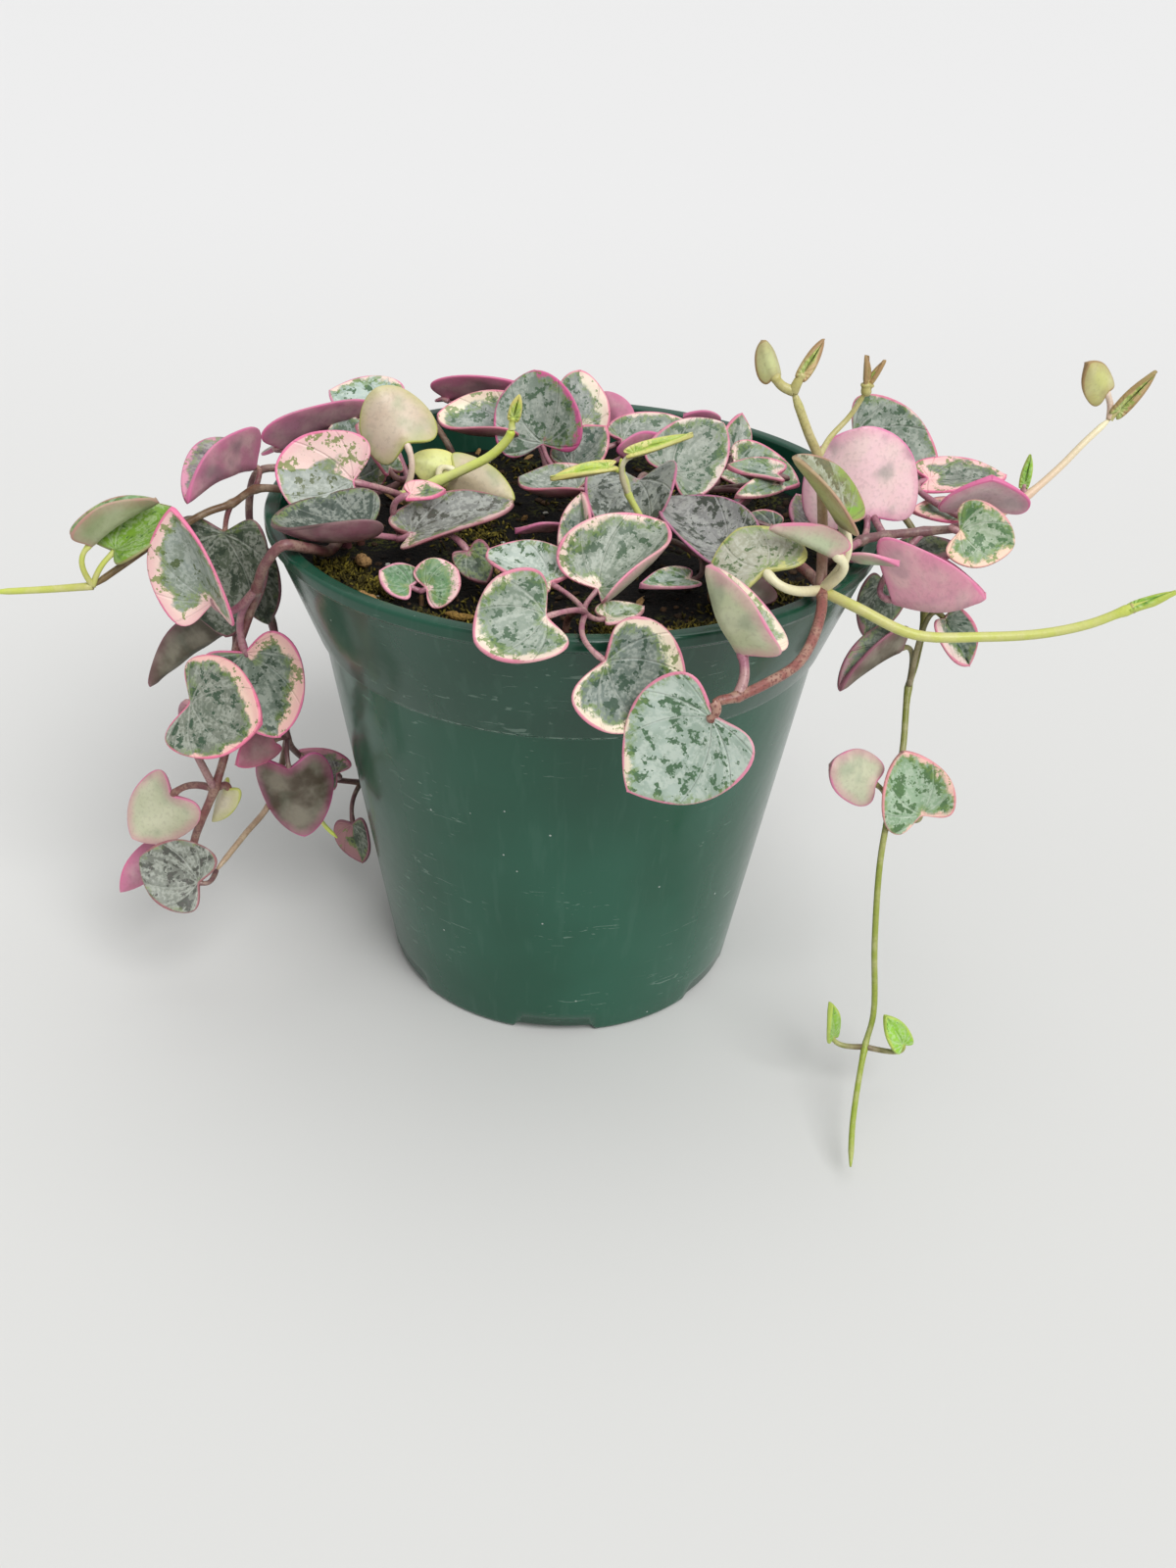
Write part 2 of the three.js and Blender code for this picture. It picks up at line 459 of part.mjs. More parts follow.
function bladeSolid(shape, frame) {
  const outline = outlineDegrees.map((degrees) => outlinePoint(degrees, shape.blunt));
  const spots = [
    ...outline.map(({ along, across }, i) => ({
      along, across, thick: i === 0 ? blade.middle : blade.rim,
    })),
    ...ribShares.map((along) => ({ along, across: 0, thick: blade.middle })),
  ];
  const positions = [];
  const triangles = [];
  const put = (spot, hand, level) => {
    const across = hand * (spot.across < 1e-6 ? 0 : spot.across);
    const point = bladePoint(shape, frame, spot.along, across, (level * spot.thick) / 2);
    positions.push(point.x, point.y, point.z);
    return positions.length / 3 - 1;
  };
  const upper = new Map();
  const lower = new Map();
  for (const hand of [1, -1]) {
    spots.forEach((spot, i) => {
      const key = spot.across < 1e-6 ? i : hand * (i + 100);
      if (upper.has(key)) return;
      upper.set(key, put(spot, hand, 1));
      lower.set(key, put(spot, hand, -1));
    });
  }
  const keyOf = (i, hand) => (spots[i].across < 1e-6 ? i : hand * (i + 100));
  for (const hand of [1, -1]) {
    for (const corners of halfBlade) {
      const [a, b, c] = corners.map((i) => keyOf(i, hand));
      const ring = hand > 0 ? [a, c, b] : [a, b, c];
      triangles.push(...ring.map((k) => upper.get(k)));
      triangles.push(...ring.map((k) => lower.get(k)).reverse());
    }
    for (let i = 0; i < outline.length - 1; i += 1) {
      const [a, b] = [keyOf(i, hand), keyOf(i + 1, hand)];
      const [from, to] = hand > 0 ? [a, b] : [b, a];
      triangles.push(upper.get(to), lower.get(to), lower.get(from));
      triangles.push(upper.get(to), lower.get(from), upper.get(from));
    }
  }
  return new wasm.Manifold(new wasm.Mesh({
    numProp: 3,
    vertProperties: new Float32Array(positions),
    triVerts: new Uint32Array(triangles),
  }));
}

// The stalk leaves the stem, swings round, and runs in along the leaf's own middle rib.
function stalkSolid(start, radius, shape, frame) {
  const from = vector(start);
  const base = vector(shape.base);
  const swing = THREE.MathUtils.clamp(
    from.distanceTo(base) * 0.45, petiole.shortest, petiole.longest);
  const before = base.clone().addScaledVector(frame.along, -swing);
  const middle = from.clone().lerp(before, 0.45);
  const end = base.clone().addScaledVector(frame.along, blade.rooted * frame.length);
  const curve = new THREE.CubicBezierCurve3(from, middle, before, end);
  return tubeAlong(curve, radius, petiole.sides, petiole.steps);
}

function vineMesh({ name, stalk, stems, leaves }) {
  const solids = stems.map(stemSolid);
  for (const shape of leaves) {
    const frame = frameOf(shape);
    const start = stems[shape.onStem].points[shape.atPoint];
    solids.push(bladeSolid(shape, frame));
    solids.push(stalkSolid(start, stalk, shape, frame));
  }
  const whole = solids.reduce((sum, solid) => sum.add(solid));
  return meshFrom(whole, name, colours.leafy, 0.55);
}

// ---- Pot and soil -------------------------------------------------------------------------

function latheSolid(profile, sides) {
  return solidFrom(new THREE.LatheGeometry(profile.map(([r, z]) => new THREE.Vector2(r, z)), sides)
    .rotateX(Math.PI / 2));
}

// The body tapers up from the base, steps out under the collar, and ends in a rolled rim.
function potMesh() {
  const { wall } = pot;
  const top = pot.height;
  const beadFoot = top - pot.beadHeight;
  const underCollar = pot.collarFoot - 0.8;
  const outside = [
    [0, 0], [pot.baseRadius - 1, 0], [pot.baseRadius, 1], [pot.bodyRadius, underCollar],
    [pot.collarRadius, pot.collarFoot], [pot.rimRadius - 1, beadFoot - 0.6],
    [pot.rimRadius, beadFoot], [pot.rimRadius, top - 0.6], [pot.rimRadius - 0.6, top],
  ];
  const inside = [
    [pot.rimRadius - pot.rimWidth, top], [pot.rimRadius - pot.rimWidth, beadFoot],
    [pot.collarRadius - wall, pot.collarFoot + 1], [pot.bodyRadius - wall, underCollar - 1],
    [pot.baseRadius - wall, pot.floor], [0, pot.floor],
  ];
  let body = latheSolid([...outside, ...inside], pot.sides);
  for (let i = 0; i < pot.slots; i += 1) {
    const cutter = new THREE.BoxGeometry(pot.slotWidth, pot.slotDepth, pot.slotHeight * 2);
    cutter.translate(0, -pot.baseRadius + 1, 0);
    cutter.rotateZ((2 * Math.PI * i) / pot.slots);
    body = body.subtract(solidFrom(cutter));
  }
  return meshFrom(body, "pot", colours.pot, 0.35);
}

// The potting mix fills the pot to a little below the rim, with shallow mounds, and has a
// plain round hole where each stem goes in.
function soilMesh() {
  const gap = soil.clearance;
  const underCollar = pot.collarFoot - 0.8;
  const slope = (pot.rimRadius - pot.rimWidth - pot.collarRadius + pot.wall)
    / (pot.height - pot.beadHeight - pot.collarFoot - 1);
  const edge = pot.collarRadius - pot.wall + slope * (soil.level - pot.collarFoot - 1) - gap - 0.1;
  const profile = [
    [0, pot.floor + gap], [pot.baseRadius - pot.wall - gap - 0.1, pot.floor + gap],
    [pot.bodyRadius - pot.wall - gap - 0.1, underCollar - 1],
    [pot.collarRadius - pot.wall - gap - 0.2, pot.collarFoot + 1],
    [edge, soil.level],
  ];
  for (let ring = soil.rings - 1; ring >= 0; ring -= 1) {
    profile.push([(edge * ring) / soil.rings, soil.level]);
  }
  const lathe = new THREE.LatheGeometry(
    profile.map(([r, z]) => new THREE.Vector2(r, z)), soil.sides);
  lathe.rotateX(Math.PI / 2);
  const spots = lathe.attributes.position;
  for (let i = 0; i < spots.count; i += 1) {
    if (spots.getZ(i) > soil.level - 0.01) {
      const mound = Math.sin(spots.getX(i) * 0.21 + 1) * Math.cos(spots.getY(i) * 0.17);
      const ripple = Math.sin(spots.getX(i) * 0.09 - spots.getY(i) * 0.13);
      spots.setZ(i, soil.level + soil.relief * (mound + ripple * 0.6));
    }
  }
  let body = solidFrom(lathe);
  for (const { stems } of vines) {
    const { radius, points } = stems[0];
    const [x, y] = points[0];
    const depth = pot.height - hole.floor;
    const shaft = new THREE.CylinderGeometry(
      radius + hole.clearance + 0.15, radius + hole.clearance + 0.15, depth, hole.sides);
    shaft.rotateX(Math.PI / 2).translate(x, y, hole.floor + depth / 2);
    body = body.subtract(solidFrom(shaft));
  }
  return meshFrom(body, "soil", colours.soil, 0.95);
}

// ---- The object ---------------------------------------------------------------------------

const stringOfHearts = new THREE.Group();
stringOfHearts.add(potMesh());
stringOfHearts.add(soilMesh());
for (const vine of vines) {
  stringOfHearts.add(vineMesh(vine));
}

export default stringOfHearts;
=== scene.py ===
"""A variegated string of hearts in a round nursery pot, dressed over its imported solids.

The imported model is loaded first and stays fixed. Each leafy vine, the pot and the potting mix
then get a finer piece in the same place. Lengths in this file are millimetres, and become
metres only when a mesh is made. The origin is the centre of the pot's underside, +Z is up and
-Y is the front.
"""

from __future__ import annotations

import logging
from dataclasses import dataclass, field
from enum import Enum

import bpy
import numpy as np
from mathutils import Matrix, Vector

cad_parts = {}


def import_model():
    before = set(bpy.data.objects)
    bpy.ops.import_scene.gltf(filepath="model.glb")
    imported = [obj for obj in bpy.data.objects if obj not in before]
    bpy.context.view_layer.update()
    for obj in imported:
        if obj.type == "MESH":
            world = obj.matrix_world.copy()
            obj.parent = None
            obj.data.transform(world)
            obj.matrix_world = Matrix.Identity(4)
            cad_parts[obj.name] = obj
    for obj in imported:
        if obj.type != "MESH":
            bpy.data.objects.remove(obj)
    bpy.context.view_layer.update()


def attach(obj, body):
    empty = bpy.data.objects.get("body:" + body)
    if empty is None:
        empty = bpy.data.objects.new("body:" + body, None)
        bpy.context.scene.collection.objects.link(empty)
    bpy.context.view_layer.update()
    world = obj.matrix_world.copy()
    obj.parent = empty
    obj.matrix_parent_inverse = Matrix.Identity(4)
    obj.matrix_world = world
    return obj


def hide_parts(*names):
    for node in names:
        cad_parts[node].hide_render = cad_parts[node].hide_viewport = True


MM = 0.001
LOG = logging.getLogger("string_of_hearts")

Point = tuple[float, float, float]
Rgb = tuple[int, int, int]
Socket = bpy.types.NodeSocket
Material = bpy.types.Material


def linear(colour: Rgb) -> np.ndarray:
    """Turn a display colour from 0 to 255 into linear light with an alpha of 1.

    Args:
        colour: Red, green and blue as a screen shows them.

    Returns:
        Four floats, for a shader socket or a colour attribute.
    """
    share = np.asarray(colour, float) / 255.0
    light = np.where(share <= 0.04045, share / 12.92, ((share + 0.055) / 1.055) ** 2.4)
    return np.append(light, 1.0)


def ease(value: np.ndarray, low: float, high: float) -> np.ndarray:
    """Rise smoothly from 0 at low to 1 at high, as 3x^2 - 2x^3 of the share between them.

    Args:
        value: The numbers to grade.
        low: Where the result is 0.
        high: Where the result is 1.

    Returns:
        An array of the same shape, from 0 to 1.
    """
    share = np.clip((np.asarray(value, float) - low) / (high - low), 0.0, 1.0)
    return share * share * (3.0 - 2.0 * share)


def unit(vectors: np.ndarray) -> np.ndarray:
    """Scale vectors along the last axis to length 1."""
    return vectors / np.maximum(np.linalg.norm(vectors, axis=-1, keepdims=True), 1e-9)


def full_turn(count: int) -> np.ndarray:
    """Give angles spaced evenly over a full turn, without its end."""
    return np.linspace(0.0, 2.0 * np.pi, count, endpoint=False)


def new_object(name: str, data: bpy.types.ID) -> bpy.types.Object:
    """Put a new object into the scene.

    Args:
        name: Name of the object.
        data: Its mesh, light or camera.

    Returns:
        The object.
    """
    thing = bpy.data.objects.new(name, data)
    bpy.context.scene.collection.objects.link(thing)
    return thing


# ---- Surfaces -----------------------------------------------------------------------------


@dataclass
class Skin:
    """A closed surface made of rings, each joined to the next and the ends capped.

    Attributes:
        places: Points in millimetres, shaped (rings, around, 3).
        values: Attributes kept at each point, shaped (rings, around) or (rings, around, n).
        finish: Number of the material slot.
    """

    places: np.ndarray
    values: dict[str, np.ndarray] = field(default_factory=dict)
    finish: int = 0

    def quads(self) -> np.ndarray:
        """Number the corners of the four-sided faces between neighbouring rings.

        Returns:
            Four point numbers for each face, shaped (n, 4).
        """
        rings, around = self.places.shape[:2]
        ring, turn = np.meshgrid(np.arange(rings - 1), np.arange(around), indexing="ij")
        after = (turn + 1) % around
        corners = (ring * around + turn, ring * around + after,
                   (ring + 1) * around + after, (ring + 1) * around + turn)
        return np.stack(corners, axis=-1).reshape(-1, 4)

    def points_inward(self) -> bool:
        """Tell by the sign of the enclosed volume whether the faces look inward.

        The volume is a sixth of the sum of a . (b x c) over the two triangles of each face,
        measured from the middle of the first ring so that the caps add nothing much.

        Returns:
            True where they do.
        """
        flat = self.places.reshape(-1, 3) - self.places[0].mean(axis=0)
        a, b, c, d = (flat[self.quads()[:, k]] for k in range(4))
        volume = np.einsum("ij,ij->", a, np.cross(b, c)) + np.einsum("ij,ij->", a, np.cross(c, d))
        return bool(volume < 0.0)


def make_piece(name: str, skins: list[Skin], finishes: list[Material],
               node: str) -> None:
    """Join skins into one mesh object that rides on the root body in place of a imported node.

    Args:
        name: Name of the object.
        skins: The closed surfaces that it is made of, all with the same attributes.
        finishes: Materials in the order of the skins' finish numbers.
        node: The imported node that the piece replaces.
    """
    faces: list[list[int]] = []
    slots: list[int] = []
    start = 0
    for skin in skins:
        rings, around = skin.places.shape[:2]
        quads = skin.quads() + start
        first = np.arange(around)[::-1] + start
        last = np.arange(around) + start + (rings - 1) * around
        if skin.points_inward():
            quads, first, last = quads[:, ::-1], first[::-1], last[::-1]
        faces += quads.tolist() + [first.tolist(), last.tolist()]
        slots += [skin.finish] * (len(quads) + 2)
        start += rings * around
    places = np.concatenate([skin.places.reshape(-1, 3) for skin in skins]) * MM
    mesh = bpy.data.meshes.new(name)
    mesh.from_pydata(places.tolist(), [], faces)
    mesh.polygons.foreach_set("use_smooth", np.ones(len(faces), bool))
    mesh.polygons.foreach_set("material_index", np.array(slots, np.int32))
    for key, sample in skins[0].values.items():
        kind, part = {2: ("FLOAT", "value"), 3: ("FLOAT_VECTOR", "vector")}[min(sample.ndim, 3)]
        if sample.ndim == 3 and sample.shape[2] == 4:
            kind, part = "FLOAT_COLOR", "color"
        layer = mesh.attributes.new(key, kind, "POINT")
        values = np.concatenate([skin.values[key].reshape(-1) for skin in skins])
        layer.data.foreach_set(part, values.astype(np.float32))
    for finish in finishes:
        mesh.materials.append(finish)
    piece = new_object(name, mesh)
    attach(piece, "root")
    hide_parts(node)
    LOG.info("%s: %d points, %d faces", name, len(places), len(faces))


def smooth_line(points: np.ndarray, steps: int) -> tuple[np.ndarray, np.ndarray]:
    """Run a smooth curve through points, by cubic Hermite pieces.

    Each inner tangent is the chord-weighted mean of the two neighbouring slopes.

    Args:
        points: The points to pass through, shaped (n, 3).
        steps: Pieces between two neighbouring points.

    Returns:
        The curve's points, and the number of the given point that each has reached.
    """
    chord = np.maximum(np.sqrt(np.linalg.norm(np.diff(points, axis=0), axis=1)), 1e-6)
    slope = np.diff(points, axis=0) / chord[:, None]
    tangent = np.empty_like(points)
    tangent[0], tangent[-1] = slope[0], slope[-1]
    before, after = chord[:-1, None], chord[1:, None]
    tangent[1:-1] = (slope[:-1] * after + slope[1:] * before) / (before + after)
    reached = np.linspace(0.0, len(points) - 1.0, (len(points) - 1) * steps + 1)
    piece = np.minimum(reached.astype(int), len(points) - 2)
    s = (reached - piece)[:, None]
    run = chord[piece][:, None]
    curve = ((2 * s**3 - 3 * s**2 + 1) * points[piece]
             + (s**3 - 2 * s**2 + s) * run * tangent[piece]
             + (3 * s**2 - 2 * s**3) * points[piece + 1]
             + (s**3 - s**2) * run * tangent[piece + 1])
    return curve, reached


def tube(path: np.ndarray, radius: np.ndarray, around: int) -> np.ndarray:
    """Carry a circle along a path, square to it.

    The circle's first direction is the axis least like the path's own directions, made square
    to the path at each point, and the second is square to both.

    Args:
        path: Centre line in millimetres, shaped (n, 3).
        radius: Radius at each point of the path.
        around: Points on the circle.

    Returns:
        Points shaped (n, around, 3).
    """
    ahead = unit(np.gradient(path, axis=0))
    axes = np.array([[1, 0, 0], [0, 1, 0], [0, 0, 1], [1, 1, 0], [1, -1, 0], [0, 1, 1]], float)
    axes = unit(axes)
    axis = axes[np.argmin(np.abs(ahead @ axes.T).max(axis=0))]
    first = unit(axis - (ahead @ axis)[:, None] * ahead)
    second = np.cross(ahead, first)
    turn = full_turn(around)[:, None]
    ring = np.cos(turn) * first[:, None] + np.sin(turn) * second[:, None]
    return path[:, None] + radius[:, None, None] * ring


# ---- Materials ----------------------------------------------------------------------------


class Wiring:
    """One material's nodes, with short ways to add and join them."""

    def __init__(self, name: str) -> None:
        """Start a material with a Principled shader.

        Args:
            name: Name of the material.
        """
        self.material = bpy.data.materials.new(name)
        self.material.use_nodes = True
        self.tree = self.material.node_tree
        self.tree.nodes.clear()
        self.shader = self.tree.nodes.new("ShaderNodeBsdfPrincipled")
        out = self.tree.nodes.new("ShaderNodeOutputMaterial")
        self.tree.links.new(self.shader.outputs["BSDF"], out.inputs["Surface"])

    def put(self, socket: Socket, value: object) -> None:
        """Set a socket, or join another socket to it.

        Args:
            socket: The socket to set.
            value: A number, a vector, a display colour from 0 to 255 or a socket.
        """
        if isinstance(value, Socket):
            self.tree.links.new(value, socket)
        elif socket.type == "RGBA":
            socket.default_value = tuple(linear(value))
        else:
            socket.default_value = value

    def add(self, kind: str, inputs: dict[str | int, object], **settings: str) -> bpy.types.Node:
        """Add a node.

        Args:
            kind: Its type, without the words that all such types begin with.
            inputs: What its sockets get, by their names or numbers.
            **settings: Its settings, which come before its sockets are filled.

        Returns:
            The node.
        """
        node = self.tree.nodes.new("ShaderNode" + kind)
        for name, setting in settings.items():
            setattr(node, name, setting)
        for socket, value in inputs.items():
            self.put(node.inputs[socket], value)
        return node

    def shade(self, **values: object) -> None:
        """Set the shader's sockets.

        Args:
            **values: What they get, by their names in lower case with underscores.
        """
        for name, value in values.items():
            title = name.replace("_", " ").title().replace("Ior", "IOR")
            self.put(self.shader.inputs[title], value)

    def read(self, name: str, output: str = "Fac") -> Socket:
        """Read an attribute of the mesh: Fac for a number, Color or Vector for three."""
        return self.add("Attribute", {}, attribute_name=name).outputs[output]

    def place(self) -> Socket:
        """Give the object's own coordinates in millimetres."""
        where = self.add("TexCoord", {}).outputs["Object"]
        return self.stretch(where, (1.0 / MM, 1.0 / MM, 1.0 / MM))

    def parts(self, where: Socket) -> list[Socket]:
        """Split a place into its three coordinates."""
        return list(self.add("SeparateXYZ", {0: where}).outputs)

    def stretch(self, where: Socket, scale: Point) -> Socket:
        """Scale a place by a number for each axis."""
        return self.add("VectorMath", {0: where, 1: scale}, operation="MULTIPLY").outputs[0]

    def math(self, operation: str, *values: object) -> Socket:
        """Work out one sum, such as DIVIDE or FRACT, of numbers or sockets."""
        return self.add("Math", dict(enumerate(values)), operation=operation).outputs[0]

    def step(self, value: object, low: object, high: object) -> Socket:
        """Rise smoothly from 0 where value is low to 1 where it is high."""
        inputs = {0: value, 1: low, 2: high}
        return self.add("MapRange", inputs, interpolation_type="SMOOTHSTEP").outputs[0]

    def below(self, value: object, low: object, high: object) -> Socket:
        """Fall smoothly from 1 where value is low to 0 where it is high."""
        return self.minus(1.0, self.step(value, low, high))

    def plus(self, value: object, other: object) -> Socket:
        """Add two values."""
        return self.math("ADD", value, other)

    def minus(self, value: object, other: object) -> Socket:
        """Take the second value from the first."""
        return self.math("SUBTRACT", value, other)

    def times(self, value: object, factor: object) -> Socket:
        """Multiply two values."""
        return self.math("MULTIPLY", value, factor)

    def mix(self, share: object, low: object, high: object) -> Socket:
        """Blend two colours, from the low one at a share of 0 to the high one at 1."""
        return self.add("Mix", {0: share, 6: low, 7: high}, data_type="RGBA").outputs[2]

    def noise(self, where: Socket, scale: float, detail: float = 2.0, warp: float = 0.0) -> Socket:
        """Give cloudy noise from about 0.25 to 0.75."""
        inputs = {"Vector": where, "Scale": scale, "Detail": detail, "Distortion": warp}
        return self.add("TexNoise", inputs).outputs["Fac"]

    def cells(self, where: Socket, scale: float) -> bpy.types.Node:
        """Add a pattern of irregular cells."""
        return self.add("TexVoronoi", {"Vector": where, "Scale": scale})

    def bump(self, height: Socket, depth: float, strength: float) -> None:
        """Raise the shader's normal by a height of the given depth in millimetres."""
        node = self.add("Bump", {"Height": height, "Distance": depth * MM, "Strength": strength})
        self.put(self.shader.inputs["Normal"], node.outputs[0])


@dataclass(frozen=True)
class LeafPatterns:
    """Patterns over a leaf that the colours of both its sides share.

    Attributes:
        fine: Fine cloudy noise.
        broad: Broad cloudy noise.
        streak: Noise drawn out along the side veins.
        cluster: Cloudy noise that jumps from cell to cell of a ragged mosaic.
        wander: How far the pale margin strays in millimetres.
        vein: Where the side veins run.
        midrib: Where the midrib runs.
    """

    fine: Socket
    broad: Socket
    streak: Socket
    cluster: Socket
    wander: Socket
    vein: Socket
    midrib: Socket


@dataclass(frozen=True)
class LeafFinish:
    """The waxy face of the leaves, coloured by attributes that each leaf carries.

    Attributes:
        patch: Patches per millimetre in the dark blotches' clusters.
        cell: Cells per millimetre in the mosaic that gives patches their ragged edges.
        vein: Half the width of a side vein in millimetres.
        rim: Width of the coloured line on the edge in millimetres.
        wax: Pale frosting over the ground and the side veins.
        deep: What the darkest blotches tend to.
        rib: Colour of the midrib.
        fresh: What the green fringe inside the margin tends to.
        lit: What the underside tends to where it is palest.
        fleck: Fine flecks on the underside.
    """

    patch: float = 0.5
    cell: float = 2.5
    vein: float = 0.12
    rim: float = 0.42
    wax: Rgb = (228, 232, 220)
    deep: Rgb = (36, 62, 46)
    rib: Rgb = (128, 126, 116)
    fresh: Rgb = (150, 176, 84)
    lit: Rgb = (226, 222, 200)
    fleck: Rgb = (104, 92, 82)

    def patterns(self, w: Wiring) -> LeafPatterns:
        """Work out the patterns from the leaf's plan and from its fan of veins.

        Args:
            w: The material's nodes.

        Returns:
            The patterns.
        """
        plan, fan = w.read("plan", "Vector"), w.read("fan", "Vector")
        angle, radius, aside = w.parts(fan)
        nearest = w.math("ABSOLUTE", w.minus(w.math("FRACT", angle), 0.5))
        fine = w.noise(plan, 1.6, 3.0)
        streak = w.noise(w.stretch(fan, (3.4, 0.3, 0.0)), 1.0, 3.0, 0.4)
        mosaic = w.cells(plan, self.cell).outputs["Position"]
        cluster = w.noise(mosaic, self.patch, 2.5, 0.6)
        cluster = w.plus(cluster, w.times(w.minus(fine, 0.5), 0.3))
        return LeafPatterns(
            fine=fine,
            broad=w.noise(plan, 0.17, 2.0),
            streak=streak,
            cluster=w.minus(cluster, w.times(w.minus(streak, 0.5), 0.25)),
            wander=w.times(w.minus(w.noise(mosaic, 0.42, 2.0), 0.5), 4.4),
            vein=w.below(w.times(nearest, radius), self.vein * 0.5, self.vein * 2.2),
            midrib=w.below(aside, self.vein, self.vein * 2.6),
        )

    def upper(self, w: Wiring, seen: LeafPatterns) -> Socket:
        """Colour the upper side: ground, frosting, side veins, blotches and midrib.

        Args:
            w: The material's nodes.
            seen: The patterns.

        Returns:
            The colour.
        """
        ground, dark = w.read("ground", "Color"), w.read("blotch", "Color")
        pale = w.mix(0.3, ground, self.wax)
        top = w.mix(w.step(seen.broad, 0.36, 0.62), w.mix(0.35, ground, dark), ground)
        frost = w.step(w.plus(w.times(seen.fine, 0.5), w.times(seen.streak, 0.5)), 0.44, 0.58)
        top = w.mix(w.times(frost, 0.75), top, pale)
        top = w.mix(w.times(seen.vein, 0.25), top, pale)
        least = w.minus(0.67, w.times(w.read("spots"), 0.24))
        veins = w.math("MAXIMUM", seen.vein, seen.midrib)
        blotch = w.times(w.step(w.minus(seen.cluster, least), 0.0, 0.05),
                         w.minus(0.94, w.times(veins, 0.6)))
        spot = w.mix(w.step(seen.fine, 0.4, 0.6), dark, w.mix(0.3, dark, self.deep))
        return w.mix(w.times(seen.midrib, 0.4), w.mix(blotch, top, spot), self.rib)

    def margin(self, w: Wiring, seen: LeafPatterns, top: Socket) -> Socket:
        """Lay the pale margin over the upper side, with a green fringe and green islands.

        Args:
            w: The material's nodes.
            seen: The patterns.
            top: Colour of the upper side.

        Returns:
            The colour with its margin.
        """
        edge, cream = w.read("edge"), w.read("cream", "Color")
        inward = w.minus(w.plus(edge, seen.wander), w.read("band"))
        flushed = w.mix(0.22, cream, w.read("rim", "Color"))
        pale = w.mix(w.below(edge, 0.5, 2.2), cream, flushed)
        green = w.mix(0.45, w.read("blotch", "Color"), self.fresh)
        fringe = w.times(w.below(inward, 0.5, 1.7), w.step(seen.fine, 0.4, 0.54))
        top = w.mix(w.times(fringe, 0.72), top, green)
        pale = w.mix(w.times(w.step(seen.cluster, 0.58, 0.61), 0.85), pale, green)
        return w.mix(w.below(inward, -0.5, 0.35), top, pale)

    def underside(self, w: Wiring, seen: LeafPatterns) -> Socket:
        """Colour the underside: cloudy, flecked, the top showing through, flushed at the edge.

        Args:
            w: The material's nodes.
            seen: The patterns.

        Returns:
            The colour.
        """
        under = w.read("under", "Color")
        cloudy = w.step(w.noise(w.read("plan", "Vector"), 0.22, 3.0), 0.36, 0.66)
        colour = w.mix(cloudy, under, w.mix(0.22, under, self.lit))
        colour = w.mix(w.times(w.step(seen.fine, 0.5, 0.66), 0.14), colour, self.fleck)
        through = w.mix(0.5, w.read("ground", "Color"), w.read("blotch", "Color"))
        colour = w.mix(w.times(w.step(seen.broad, 0.5, 0.7), 0.55), colour, through)
        flush = w.below(w.plus(w.read("edge"), w.times(seen.wander, 0.4)), 0.1, 2.4)
        return w.mix(w.times(flush, 0.4), colour, w.read("rim", "Color"))

    def edged(self, w: Wiring, colour: Socket) -> Socket:
        """Draw the coloured line along the edge, broader and stronger in places.

        Args:
            w: The material's nodes.
            colour: Colour of the leaf.

        Returns:
            The colour with its line.
        """
        strong = w.step(w.noise(w.read("plan", "Vector"), 0.16, 1.0), 0.38, 0.6)
        width = w.plus(self.rim * 0.35, w.times(strong, self.rim * 0.8))
        line = w.below(w.math("DIVIDE", w.read("edge"), width), 0.5, 1.0)
        line = w.times(line, w.plus(0.42, w.times(strong, 0.45)))
        return w.mix(line, colour, w.read("rim", "Color"))

    def make(self) -> Material:
        """Build the material, with a groove over each vein of the upper side.

        Returns:
            The material.
        """
        w = Wiring("leaf_face")
        seen, back = self.patterns(w), w.read("back")
        top = self.margin(w, seen, self.upper(w, seen))
        w.shade(base_color=self.edged(w, w.mix(back, top, self.underside(w, seen))),
                roughness=w.plus(0.34, w.times(seen.fine, 0.2)), subsurface_weight=0.06,
                subsurface_radius=(0.9, 0.8, 0.5), subsurface_scale=MM,
                specular_ior_level=0.45)
        veins = w.math("MAXIMUM", seen.vein, seen.midrib)
        groove = w.times(veins, w.minus(1.0, back))
        w.bump(w.minus(w.times(seen.fine, 0.5), groove), 0.12, 0.8)
        return w.material


@dataclass(frozen=True)
class StemFinish:
    """Stems and leaf stalks: the tint they carry, with pale clouds and fine dark specks.

    Attributes:
        speck: Specks per millimetre.
        pale: What the clouds tend to.
        dark: What the specks tend to.
    """

    speck: float = 2.3
    pale: Rgb = (214, 200, 170)
    dark: Rgb = (66, 40, 34)

    def make(self) -> Material:
        """Build the material.

        Returns:
            The material.
        """
        w = Wiring("stem_skin")
        where = w.place()
        tint = w.read("tint", "Color")
        fine = w.noise(where, self.speck, 3.0)
        soft = w.noise(where, 0.35, 2.0)
        colour = w.mix(w.times(w.step(soft, 0.4, 0.65), 0.25), tint, self.pale)
        specks = w.times(w.step(fine, 0.53, 0.6), w.read("speckle"))
        colour = w.mix(specks, colour, w.mix(0.5, tint, self.dark))
        w.shade(base_color=colour, roughness=0.4, subsurface_weight=0.05,
                subsurface_radius=(0.9, 0.6, 0.4), subsurface_scale=MM)
        w.bump(fine, 0.08, 0.7)
        return w.material


